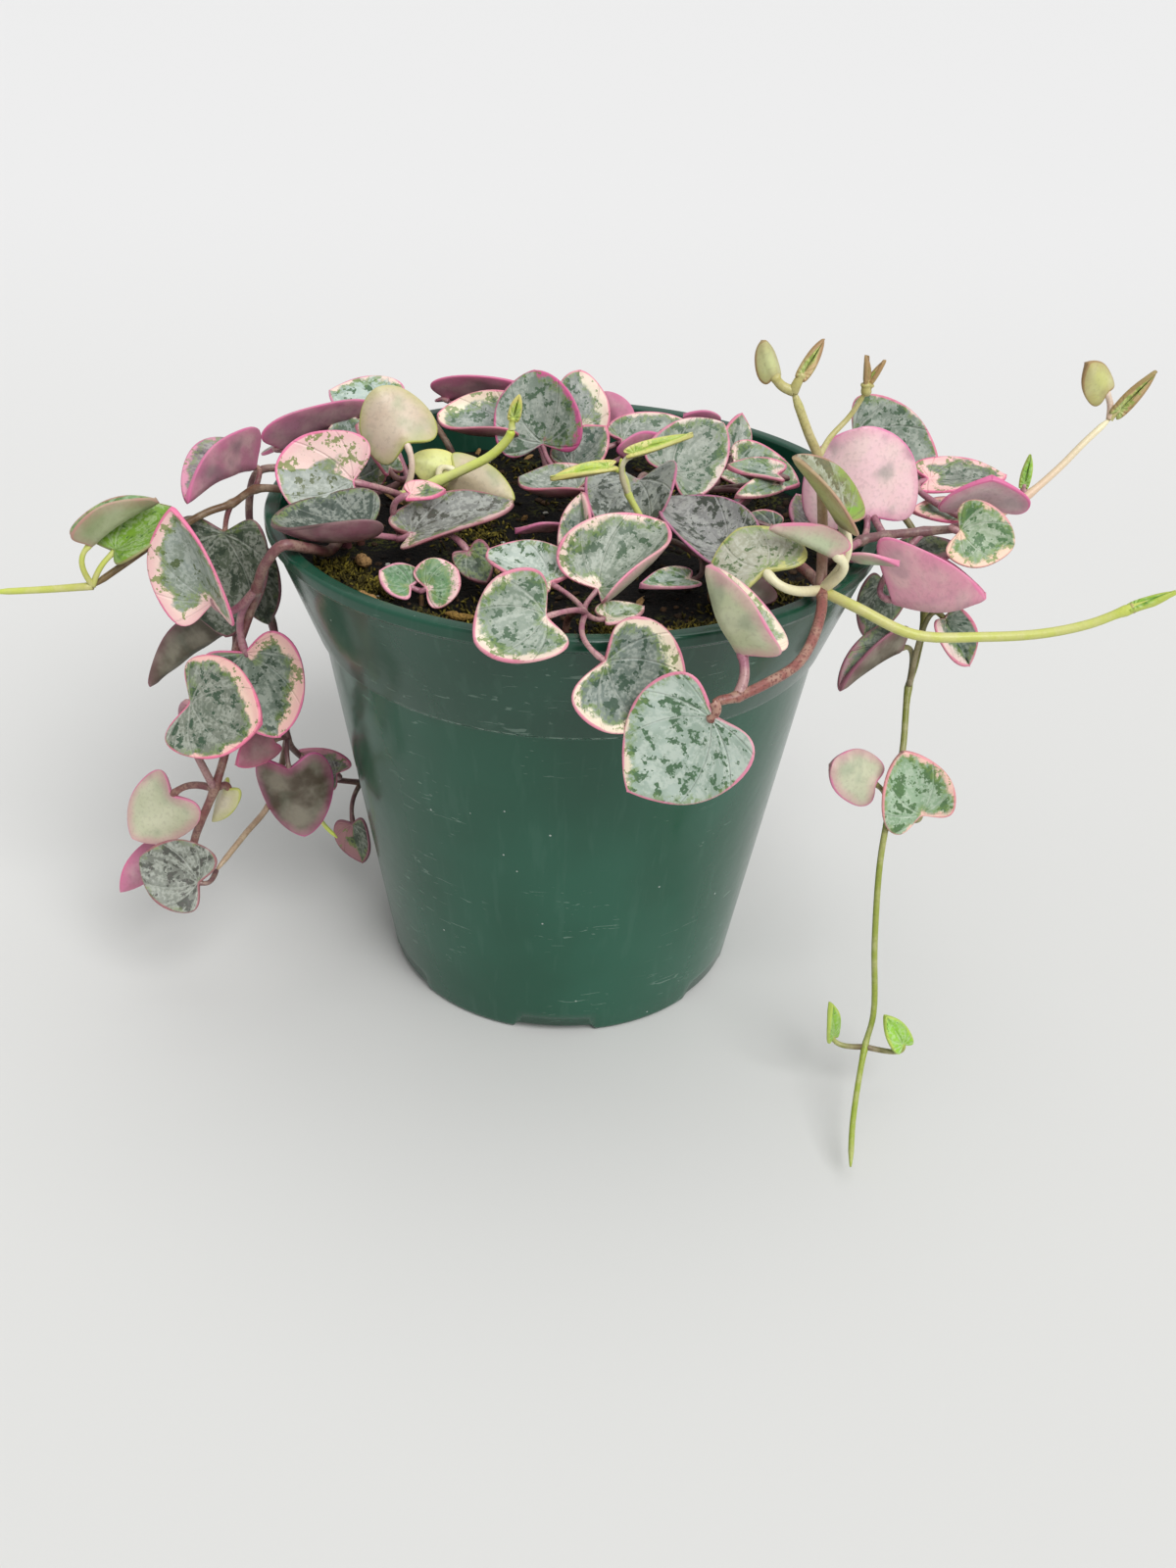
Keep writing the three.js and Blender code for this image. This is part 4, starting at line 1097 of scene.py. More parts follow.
             Coat.SPROUT, (-0.2, 0.9, -120), blunt=0.5),
        Leaf(0, 2, (-23.2, -29.4, 89.6), (-18, -27.4, 92), (0, -3, 2.4), 1.4, 5, 16,
             Coat.SPROUT, (0.7, 0.4, 160), blunt=1),
    )),
    Vine("vine_right_front", 0.8, Tint.SHOOT, (
        Stem(0.95, ((32, -10, 80), (32, -10, 89), (34, -17, 93.4), (37, -27, 95.6),
            (39.4, -38, 96.4), (38.4, -46, 94.6), (35, -54, 92), (30, -59, 91), (25.5, -62, 90.2),
            (22, -63.5, 90)), Tint.RUSSET),
        Stem(0.88, ((39.4, -38, 96.4), (45, -41, 95), (54, -42, 91.4), (65, -41, 91),
            (74, -41, 92), (81, -41, 94), (86, -41, 96.5), (92, -41, 99)), Tint.RUNNER),
        Stem(0.88, ((39.4, -38, 96.4), (39.4, -34, 102), (39, -30.6, 108), (38, -28, 114),
            (36, -28, 118), (33, -28, 124.5)), Tint.UPRIGHT),
        Stem(0.5, ((38, -28, 114), (40, -24, 116), (43, -22, 119), (45, -22, 123)), Tint.SHOOT),
    ), (
        Leaf(0, 8, (26.1, -58, 95), (20.6, -52.4, 106.4), (6, -0.6, 2), 1.2, 52, 8,
             Coat.OLIVE, (0.5, 0.6, 90), Tint.MAUVE, arch=-0.14),
        Leaf(0, 9, (22.3, -64, 88), (10.5, -62, 73.2), (0, -8, 5), 1.02, 6, 14,
             Coat.FROST, (-0.5, 1.2, 140), Tint.RUSSET, arch=-0.04),
        Leaf(0, 4, (41.4, -38, 107.4), (33.2, -36.4, 117.4), (1, -2, 2), 0.96, 34, 0,
             Coat.VERDANT, (-1.8, 4.2, 50), Tint.CREAM, lean=-34, blunt=0.3),
        Leaf(0, 4, (40.6, -41, 103.6), (30.4, -39, 107), (0, 1, 1), 0.64, 42, 0,
             Coat.OLIVE, (-0.1, 0.5, 180), Tint.CREAM),
        Leaf(0, 4, (30.2, -41, 100.4), (26, -34.2, 104.2), (-0.8, -1, 3), 1.8, -6, -6,
             Coat.ALOE, (0.2, 0.6, 90), Tint.CREAM, blunt=1),
        Leaf(2, 5, (30, -28, 126.6), (27.6, -28, 132), (-1, 4, -3), 0.85, 34, 10,
             Coat.BUD, blunt=0.4),
        Leaf(2, 5, (34, -28, 127), (37, -26, 132), (0, -1, 0), 0.4, 20, 10, Coat.BUD),
        Leaf(1, 6, (87, -41, 97), (93, -41, 100), (0, -1, 3), 0.3, 20, 10, Coat.GRASS, (-1, 0, 0)),
        Leaf(3, 3, (44.8, -22.2, 124.2), (44.4, -22, 128.6), (1, -1, 0), 0.34, 30, 10, Coat.BUD),
        Leaf(3, 3, (45.4, -21.8, 124.2), (47.2, -22, 128), (-1, -1, 0), 0.34, 30, 10, Coat.BUD),
    )),
    Vine("vine_right_cluster", 0.6, Tint.MAUVE, (
        Stem(0.9, ((43, -13, 80), (43, -13, 88), (45, -17, 93), (48, -19, 96.8), (52, -17, 97),
            (59, -14.5, 97), (69, -12.5, 97.4)), Tint.PLUM),
        Stem(0.7, ((69, -12.5, 97.4), (77, -8.5, 102), (82, -6, 106), (86, -4, 110),
            (90, -2, 113.5)), Tint.CANE),
    ), (
        Leaf(0, 4, (49, 10.5, 104.4), (64.2, 6, 100), (0, -8, 5), 1.05, 8, 16,
             Coat.SAGE, (-0.2, 0.6, 180), blunt=0.5),
        Leaf(0, 3, (49.6, -12.6, 98.4), (47, -10, 113), (0, 8, -5), 1.45, 12, 20,
             Coat.ROSE, (1.5, 2.5, -90), Tint.MAUVE, blunt=1),
        Leaf(0, 6, (61.5, 1, 100), (75.5, 2, 101), (0, -1, 3), 0.72, 10, 10,
             Coat.PETAL, (1.5, 0.8, 0)),
        Leaf(0, 6, (68.2, -13.4, 101.8), (68, -17.6, 108.2), (0, 9, 4), 2.05, -10, -4,
             Coat.ASH, stalk=Tint.PINK),
        Leaf(0, 6, (66.5, -5.5, 96.6), (58.5, -4.5, 96.6), (0, -1, 3), 0.85, 10, 15,
             Coat.PETAL, (0.6, 0.8, 180)),
        Leaf(0, 6, (63.8, -19, 99.2), (72.6, -21.5, 98), (0, -8, 5), 1.25, 8, 18,
             Coat.MOTTLED, (0.4, 0.8, 90), blunt=0.6),
        Leaf(0, 3, (46, -26, 96.5), (53, -28, 97), (0, 1, 2), 0.9, 10, 10,
             Coat.OLIVE, (0.3, 0.4, 0)),
        Leaf(0, 5, (54, -22, 87.6), (68.6, -25, 90.6), (0, 1, 5), 1.6, 58, 14,
             Coat.ORCHID, stalk=Tint.MAUVE, lean=14, arch=-0.22),
        Leaf(1, 4, (88.5, -2, 118), (83.5, -4, 123.5), (0, 8, -5), 0.85, 15, 10,
             Coat.BUD, stalk=Tint.PINK),
        Leaf(1, 4, (91, -2, 115), (96, -2, 122), (0, -1, 0), 0.35, 20, 10,
             Coat.BUD, stalk=Tint.SHOOT),
        Leaf(1, 1, (76, -8, 103.5), (76.5, -7, 108.5), (0, -1, 0), 0.4, 20, 10,
             Coat.GRASS, (-1, 0, 0)),
        Leaf(0, 4, (57, -11.8, 90.8), (67, -12, 93.2), (0, -1, 2), 0.7, 20, 10, Coat.IN_SHADE),
    )),
    Vine("vine_right_hanging", 0.5, Tint.TRAIL, (
        Stem(0.65, ((45, 1, 80), (45, 1, 88), (48, 0, 94), (51, -1, 96.6), (56, -4, 96.4),
            (60, -8, 92), (62, -12, 81), (61, -16, 73), (60, -18, 69), (59, -26, 60),
            (57, -32, 52), (56, -36, 44), (56, -42, 31), (57, -46, 18), (56, -48, 12),
            (53, -61, 6.5), (52, -69, 3.5)), Tint.TRAIL),
    ), (
        Leaf(0, 6, (57, 2, 80), (54.5, 0, 69.5), (1, -2, 1), 0.95, 10, 10,
             Coat.IN_SHADE, (-0.3, 0.4, 180)),
        Leaf(0, 8, (57.5, -18.5, 77), (46.6, -25, 72), (0.5, 1, 3), 0.85, 62, 0,
             Coat.IN_SHADE, (0.4, 0.8, 180), Tint.OLIVE),
        Leaf(0, 8, (63.6, -19.5, 83.6), (69.4, -19.5, 74.6), (0, -8, 5), 0.85, 44, 0,
             Coat.SLATE, (0.4, 1.2, 90), Tint.OLIVE),
        Leaf(0, 10, (54, -31, 57), (45.5, -33, 61.6), (0, 8, -5), 1, 10, 16,
             Coat.OLIVE, (0.6, 0.6, 180), Tint.OLIVE, blunt=0.7),
        Leaf(0, 10, (62.6, -32, 51.5), (58, -30, 63), (0, -8, 5), 1.1, 8, 16,
             Coat.MOTTLED, (0.3, 0.7, 90), Tint.OLIVE, blunt=0.4),
        Leaf(0, 14, (50, -47, 13.5), (49, -47, 21), (1, -1, 0), 0.5, 15, 10,
             Coat.GRASS, (-1, 0, 0)),
        Leaf(0, 14, (62.3, -49, 13.8), (58.6, -48, 19.5), (0, -1, 1), 0.7, 15, 10,
             Coat.GRASS, (-1, 0, 0)),
        Leaf(0, 1, (42, -3, 92), (39, 2, 96), (0, -1, 2), 1, 10, 10, Coat.MAUVE),
    )),
    Vine("vine_back_left", 0.5, Tint.MAUVE, (
        Stem(0.7, ((-24, 31, 80), (-24, 31, 88), (-29, 37, 94), (-33, 41, 96.6), (-37, 45, 94),
            (-38, 46, 84), (-36, 46, 70), (-34, 46, 56), (-33, 46, 44)), Tint.BROWN),
    ), (
        Leaf(0, 5, (-42, 49, 91), (-51, 54, 82), (-1, 1, 2), 1, 8, 12, Coat.SAGE, (0.5, 0.8, 150)),
        Leaf(0, 5, (-34, 52, 87), (-25, 59, 79), (0, 1, 1), 1, 8, 12, Coat.SLATE, (0.5, 0.8, 90)),
        Leaf(0, 5, (-43, 49, 77), (-50, 54, 65), (-2, 2, 1), 1.05, 8, 12,
             Coat.FROST, (0.5, 0.8, -120)),
        Leaf(0, 6, (-33, 52, 74), (-26, 57, 63), (0, 2, 1), 1.05, 8, 12,
             Coat.SAGE, (0.5, 0.8, 150)),
        Leaf(0, 7, (-40, 49, 60), (-47, 53, 49.5), (-2, 2, 1), 1, 8, 12,
             Coat.PETAL, (0.5, 0.8, 60)),
        Leaf(0, 7, (-31, 51, 57), (-24.5, 55, 47.5), (0, 2, 1), 1, 8, 12,
             Coat.SLATE, (0.5, 0.8, 180)),
        Leaf(0, 8, (-37, 49, 42), (-43, 53, 33), (-2, 2, 1), 1, 8, 12, Coat.SAGE, (0.5, 0.8, -90)),
        Leaf(0, 8, (-29, 49, 42), (-23, 53, 33), (0, 2, 1), 1, 8, 12, Coat.FERN, (0.5, 0.8, 150)),
    )),
    Vine("vine_back", 0.5, Tint.MAUVE, (
        Stem(0.7, ((2, 41, 80), (2, 41, 88), (0, 47, 94), (-1, 51, 96.6), (-2, 56, 95),
            (-2, 58, 86), (-1, 57, 74), (1, 55, 62), (1, 54, 52)), Tint.BROWN),
    ), (
        Leaf(0, 4, (-8, 59, 89), (-17, 63, 81), (0, 1, 1), 1.05, 8, 12,
             Coat.SLATE, (0.5, 0.8, 150)),
        Leaf(0, 5, (4, 61, 85), (13, 65, 77), (0, 1, 1), 1.05, 8, 12, Coat.FROST, (0.5, 0.8, 90)),
        Leaf(0, 6, (-6.5, 60, 71), (-13, 63, 59), (0, 2, 1), 0.95, 8, 12,
             Coat.SAGE, (0.5, 0.8, -120)),
        Leaf(0, 6, (5, 60, 68), (12.5, 62, 57), (0, 2, 1), 0.95, 8, 12,
             Coat.PETAL, (0.5, 0.8, 150)),
        Leaf(0, 8, (-4, 57, 50), (-7, 60, 40), (0, 2, 1), 1, 8, 12, Coat.SAGE, (0.5, 0.8, 60)),
        Leaf(0, 8, (5, 57, 50), (10, 59, 41), (0, 2, 1), 1, 8, 12, Coat.SLATE, (0.5, 0.8, 180)),
    )),
)

CHIPS: tuple[Chip, ...] = (
    Chip((-40.5, -24.5, 87.4), (-35, -30.5, 87.6), 0.9, (206, 168, 120)),
    Chip((-36.4, -14, 87.4), (-34.4, -16.8, 88), 1.1, (190, 150, 100)),
    Chip((-35, -27.6, 87.2), (-31.5, -30, 87.4), 1.0, (186, 146, 92)),
    Chip((-20, -33, 87), (-15, -34.4, 87.2), 0.7, (150, 118, 60)),
    Chip((14, -34, 87), (17, -36.5, 87.2), 0.6, (176, 142, 96)),
    Chip((26, -26, 87), (23, -22, 87.4), 0.8, (120, 92, 64)),
)

# Moss grows in patches: the middle along X and Y, and the spread, in millimetres.
MOSS_PATCHES: tuple[tuple[float, float, float], ...] = (
    (-39, -17, 2.6), (-33, -22, 2.4), (-22, -37, 2.4), (-13, -34, 3), (-10, -28, 2.6),
    (8, -37, 3), (19, -35, 3), (28, -28, 3), (4, -6, 4), (-18, 2, 4), (30, 4, 4), (36, -16, 2.4),
    (-4, 30, 6), (26, 26, 5), (-26, 24, 5), (-7, -18, 2.4),
)


# ---- Leaf shapes --------------------------------------------------------------------------


@dataclass(frozen=True)
class Heart:
    """Half the outline of a heart-shaped leaf, from its notch at 0 to its tip at a half turn.

    Along the leaf the outline lies at (notch - sum of c_i cos(i t)) / length, and across it at
    sin(t) to the power of roundness, as a share of half the width. Past a quarter turn the power
    is less by half the leaf's bluntness.

    Attributes:
        cosines: The numbers c_i, from i = 1.
        notch: Their sum, which puts the notch at 0.
        length: From the notch to the tip, before the division.
        roundness: The power of the half nearer the stalk.
    """

    cosines: tuple[float, ...] = (14.0, -3.4, -1.6, -0.6)
    notch: float = 8.4
    length: float = 24.8
    roundness: float = 1.5

    def outline(self, turn: np.ndarray, blunt: float) -> tuple[np.ndarray, np.ndarray]:
        """Work out the outline's shares along and across the leaf.

        Args:
            turn: Angles from 0 to pi.
            blunt: How round the tip is, from 0 to 1.

        Returns:
            The shares along and across.
        """
        reach = sum(c * np.cos((i + 1) * turn) for i, c in enumerate(self.cosines))
        power = np.where(turn > np.pi / 2.0, self.roundness - 0.5 * blunt, self.roundness)
        return (self.notch - reach) / self.length, np.clip(np.sin(turn), 0.0, 1.0) ** power


@dataclass(frozen=True)
class LeafMaker:
    """Makes one blade and its stalk.

    Attributes:
        heart: The outline's rule.
        rings: Sections from the notch to the tip.
        around: Points around each section, over the upper side and back under the lower.
        middle: Thickness at the middle in millimetres.
        rim: Thickness near the edge in millimetres.
        crease: Share of the half width over which the fold at the midrib is eased.
        vein_step: Angle between neighbouring side veins in degrees.
        slow: How far the outline strays in one slow wave, as a share of its size.
        quick: How far it strays in one quick wave.
        ripple: Wave of the edge as a share of the leaf's length.
        pucker: Depth of the quilting between the veins in millimetres.
        groove: Depth of the groove over the midrib in millimetres.
        fan_foot: How far past the notch the veins fan out from, as a share of the length.
    """

    heart: Heart = Heart()
    rings: int = 34
    around: int = 44
    middle: float = 1.15
    rim: float = 0.9
    crease: float = 0.07
    vein_step: float = 33.0
    slow: float = 0.022
    quick: float = 0.014
    ripple: float = 0.02
    pucker: float = 0.1
    groove: float = 0.22
    fan_foot: float = 0.03

    def outline(self, turn: np.ndarray, hand: np.ndarray | float, blunt: float,
                phase: np.ndarray) -> tuple[np.ndarray, np.ndarray]:
        """Give half the heart's outline, made a little uneven by two waves.

        Args:
            turn: Angles from 0 to pi.
            hand: 1 for the half on the right of the upper side, -1 for the other.
            blunt: How round the tip is.
            phase: The waves' phases, first the slow one's and then the quick one's.

        Returns:
            The shares along and across.
        """
        uneven = (1.0 + self.slow * np.sin(2.0 * turn + phase[0] + hand)
                  + self.quick * np.sin(5.0 * turn + phase[1] + 2.0 * hand))
        reach, across = self.heart.outline(turn, blunt)
        return reach * (1.0 + 0.25 * (uneven - 1.0)), across * uneven

    def blade(self, leaf: Leaf, chance: np.random.Generator) -> Skin:
        """Make a blade as sections that run from edge to edge and back underneath.

        With t the turn of a section and r the share from the rib to the edge, a point lies at
        rib(t) + |r| (outline(t) - rib(t)) in the leaf's own plane. Half blades then lean up at
        the fold angle and curl on towards their edges, the leaf arches along its length and its
        edge waves a little. Both faces stand off by half the thickness, which rounds to
        nothing at the edge as the square root of the sine of the way around.

        Args:
            leaf: Where the leaf is and how it is coloured.
            chance: Source of the small differences between leaves.

        Returns:
            The blade with its colour attributes.
        """
        base, tip = np.array(leaf.base), np.array(leaf.tip)
        along = unit(tip - base)
        length = float(np.linalg.norm(tip - base))
        up = np.array(leaf.faces, float)
        up = unit(up - (up @ along) * along)
        side = np.cross(along, up)
        half = length * leaf.wide / 2.0

        turn = np.linspace(0.035, np.pi - 0.02, self.rings)[:, None]
        way = (np.arange(self.around) + 0.5)[None, :] * 2.0 * np.pi / self.around
        share = np.sign(np.cos(way)) * np.abs(np.cos(way)) ** 0.8
        hand = np.sign(share)
        phase = chance.uniform(0.0, 2.0 * np.pi, 6)
        reach, across = self.outline(turn, hand, leaf.blunt, phase)
        rib = 0.5 - 0.5 * np.cos(turn)
        lane = np.abs(share) * across
        run = rib + np.abs(share) * (reach - rib)

        eased = lane / np.sqrt(lane**2 + self.crease**2)
        fold = (leaf.fold + hand * leaf.lean) * eased
        chord = np.radians(fold + leaf.curl * lane / 2.0)
        slope = np.radians(fold + leaf.curl * lane)
        wave = self.ripple * length * lane**2 * np.sin(3.0 * turn * hand + phase[2])
        arch = leaf.arch * length * 4.0 * run * (1.0 - run)
        x, y = hand * lane * half, run * length
        edge = self.distance_to_edge(x, y, length, half, leaf.blunt, phase)
        pucker = self.pucker * np.sin(0.9 * x + phase[3]) * np.sin(0.8 * y + phase[4])
        pucker = pucker * ease(edge, 0.4, 2.0)
        groove = self.groove * np.exp(-(x / 0.5) ** 2) * ease(edge, 0.2, 1.2)

        thick = 0.5 * (self.rim + (self.middle - self.rim) * (1.0 - np.abs(share)))
        thick = thick * np.minimum(1.0, 0.45 + length / 14.0)
        stand = thick * np.sign(np.sin(way)) * np.abs(np.sin(way)) ** 0.5
        lift = lane * half * np.sin(chord) + wave + arch + pucker - groove
        places = (base + along * y[..., None]
                  + side * (hand * (lane * half * np.cos(chord) - stand * np.sin(slope)))[..., None]
                  + up * (lift + stand * np.cos(slope))[..., None])

        mean, swing, toward = leaf.band
        heading = hand * turn
        band = (mean + swing * np.cos(heading - np.radians(toward))
                + 0.25 * np.sin(3.0 * heading + phase[5]))
        seed = chance.uniform(0.0, 90.0)
        shape = places.shape[:2]
        values = {
            "plan": np.stack([x + seed, y, np.full(shape, seed)], axis=-1),
            "fan": self.fan(x, y, length),
            "edge": edge,
            "band": np.broadcast_to(band, shape),
            "back": np.broadcast_to(ease(-np.sin(way), -0.35, 0.15), shape),
            "spots": np.full(shape, leaf.coat.value.spots),
        }
        return Skin(places, values | self.tones(leaf.coat, shape, chance))

    def fan(self, x: np.ndarray, y: np.ndarray, length: float) -> np.ndarray:
        """Give each point's place among the side veins, which fan out from just past the notch.

        With a the angle off the midrib and d the distance from the fan's foot, it is
        a / vein_step + 0.9 d / length, in which a vein lies halfway between whole numbers.

        Args:
            x: Places across the leaf in millimetres.
            y: Places along the leaf in millimetres.
            length: Length of the leaf.

        Returns:
            That place, the distance between two veins there, and that to the midrib.
        """
        ahead = y - self.fan_foot * length
        radius = np.hypot(x, ahead)
        step = np.radians(self.vein_step)
        angle = np.arctan2(np.abs(x), ahead) / step + 0.9 * radius / length
        return np.stack([angle, radius * step, np.abs(x)], axis=-1)

    def tones(self, coat: Coat, shape: tuple[int, int], chance: np.random.Generator
              ) -> dict[str, np.ndarray]:
        """Give a leaf its kind's colours, each a little off at random.

        Args:
            coat: The kind of leaf.
            shape: Sections and points around each.
            chance: Source of the small differences.

        Returns:
            One colour attribute for each of the kind's colours.
        """
        values = {}
        for name in ("ground", "blotch", "cream", "rim", "under"):
            shift = np.append(chance.uniform(0.94, 1.06, 3), 1.0)
            tone = linear(getattr(coat.value, name)) * shift
            values[name] = np.broadcast_to(tone, (*shape, 4))
        return values

    def distance_to_edge(self, x: np.ndarray, y: np.ndarray, length: float, half: float,
                         blunt: float, phase: np.ndarray) -> np.ndarray:
        """Measure how far each point of the flat leaf is from the leaf's edge.

        Args:
            x: Places across the leaf in millimetres.
            y: Places along the leaf in millimetres.
            length: Length of the leaf.
            half: Half the width of the leaf.
            blunt: How round the leaf's tip is.
            phase: The phases of the outline's unevenness.

        Returns:
            The distance to the nearest piece of the outline.
        """
        turn = np.linspace(0.0, np.pi, 60)
        corners = []
        for hand in (1.0, -1.0):
            reach, across = self.outline(turn, hand, blunt, phase)
            line = np.stack([hand * across * half, reach * length], axis=-1)
            corners.append(line if hand > 0 else line[::-1])
        line = np.concatenate(corners)
        start, run = line[:-1], np.diff(line, axis=0)
        spot = np.stack([x, y], axis=-1)[..., None, :]
        gap = spot - start
        share = (gap * run).sum(-1) / np.maximum((run * run).sum(-1), 1e-9)
        nearest = gap - np.clip(share, 0.0, 1.0)[..., None] * run
        return np.sqrt((nearest**2).sum(-1).min(-1))

    def stalk(self, leaf: Leaf, start: np.ndarray, radius: float, tint: Tint) -> Skin:
        """Make the stalk as a tube on a cubic Bezier curve.

        It leaves the stem, swings round behind the leaf and runs in along the midrib, where it
        tapers into the blade.

        Args:
            leaf: The leaf that it carries.
            start: The point on the stem.
            radius: Its radius at the stem in millimetres.
            tint: Its colour.

        Returns:
            The stalk with its tint.
        """
        base, tip = np.array(leaf.base), np.array(leaf.tip)
        along, length = unit(tip - base), float(np.linalg.norm(tip - base))
        swing = float(np.clip(np.linalg.norm(start - base) * 0.45, 1.2, 6.0))
        before = base - along * swing
        middle = start + 0.45 * (before - start)
        end = base + along * 0.07 * length
        s = np.linspace(0.0, 1.0, 18)[:, None]
        path = ((1 - s)**3 * start + 3 * (1 - s)**2 * s * middle + 3 * (1 - s) * s**2 * before
                + s**3 * end)
        size = radius * (1.08 - 0.25 * s[:, 0] + 0.25 * np.exp(-((s[:, 0] - 0.9) / 0.07) ** 2))
        size[-1] *= 0.5
        places = tube(path, size, 12)
        return Skin(places, tinted(places, tint, s), finish=1)


def tinted(places: np.ndarray, tint: Tint, share: np.ndarray) -> dict[str, np.ndarray]:
    """Blend a tint's two colours along a stem.

    Args:
        places: The stem's points, shaped (n, around, 3).
        tint: The two colours and the strength of the specks.
        share: The way along the stem from 0 to 1, shaped (n, 1).

    Returns:
        The tint and speckle attributes.
    """
    start, end, speckle = tint.value
    colour = linear(start) + share * (linear(end) - linear(start))
    shape = places.shape[:2]
    return {"tint": np.broadcast_to(colour[:, None], (*shape, 4)),
            "speckle": np.full(shape, speckle)}


def blank_values(shape: tuple[int, int], wanted: dict[str, np.ndarray]) -> dict[str, np.ndarray]:
    """Give zeros for the attributes that a skin doesn't carry."""
    return {key: np.zeros((*shape, *sample.shape[2:])) for key, sample in wanted.items()}


@dataclass(frozen=True)
class HeartVine:
    """One leafy vine: its stems, their side stalks and the heart-shaped leaves.

    Attributes:
        vine: Its stems and leaves.
        maker: What makes each leaf.
    """

    vine: Vine
    maker: LeafMaker = LeafMaker()

    def stem(self, stem: Stem, knots: list[int]) -> Skin:
        """Make a stem as a tube that thickens at its leaf joints and thins towards its tip.

        The radius is r (1 - 0.22 s) (1 + 0.28 sum of exp(-(k / 0.16)^2)), with s the way along
        and k the distance to a joint in points. The sum is held to 1, and the last two points
        narrow to a blunt tip.

        Args:
            stem: The stem's points and radius.
            knots: Numbers of the points where leaves join.

        Returns:
            The stem with its tint.
        """
        path, reached = smooth_line(np.array(stem.points, float), 6)
        share = reached / reached[-1]
        bulges = [np.exp(-((reached - k) / 0.16) ** 2) for k in set(knots)]
        knot = sum(bulges, np.zeros_like(reached))
        size = stem.radius * (1.0 - 0.22 * share) * (1.0 + 0.28 * np.minimum(knot, 1.0))
        size = size * np.sqrt(np.clip((1.0 - share) * (len(path) - 1) / 2.0, 0.12, 1.0))
        places = tube(path, size, 14)
        return Skin(places, tinted(places, stem.tint, share[:, None]), finish=1)

    def build(self, leaf_face: Material, stem_skin: Material) -> None:
        """Make the vine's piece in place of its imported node.

        Args:
            leaf_face: Material of the blades.
            stem_skin: Material of stems and stalks.
        """
        chance = np.random.default_rng(sum(map(ord, self.vine.name)))
        blades: list[Skin] = []
        rods: list[Skin] = []
        for number, stem in enumerate(self.vine.stems):
            knots = [leaf.point for leaf in self.vine.leaves if leaf.stem == number]
            rods.append(self.stem(stem, knots))
        for leaf in self.vine.leaves:
            start = np.array(self.vine.stems[leaf.stem].points[leaf.point], float)
            blades.append(self.maker.blade(leaf, chance))
            tint = leaf.stalk or self.vine.tint
            rods.append(self.maker.stalk(leaf, start, self.vine.stalk, tint))
        wanted = blades[0].values | rods[0].values
        for skin in rods + blades:
            skin.values = blank_values(skin.places.shape[:2], wanted) | skin.values
        make_piece(f"{self.vine.name}_grown", rods + blades, [leaf_face, stem_skin],
                   self.vine.name)


# ---- Pot and potting mix ------------------------------------------------------------------


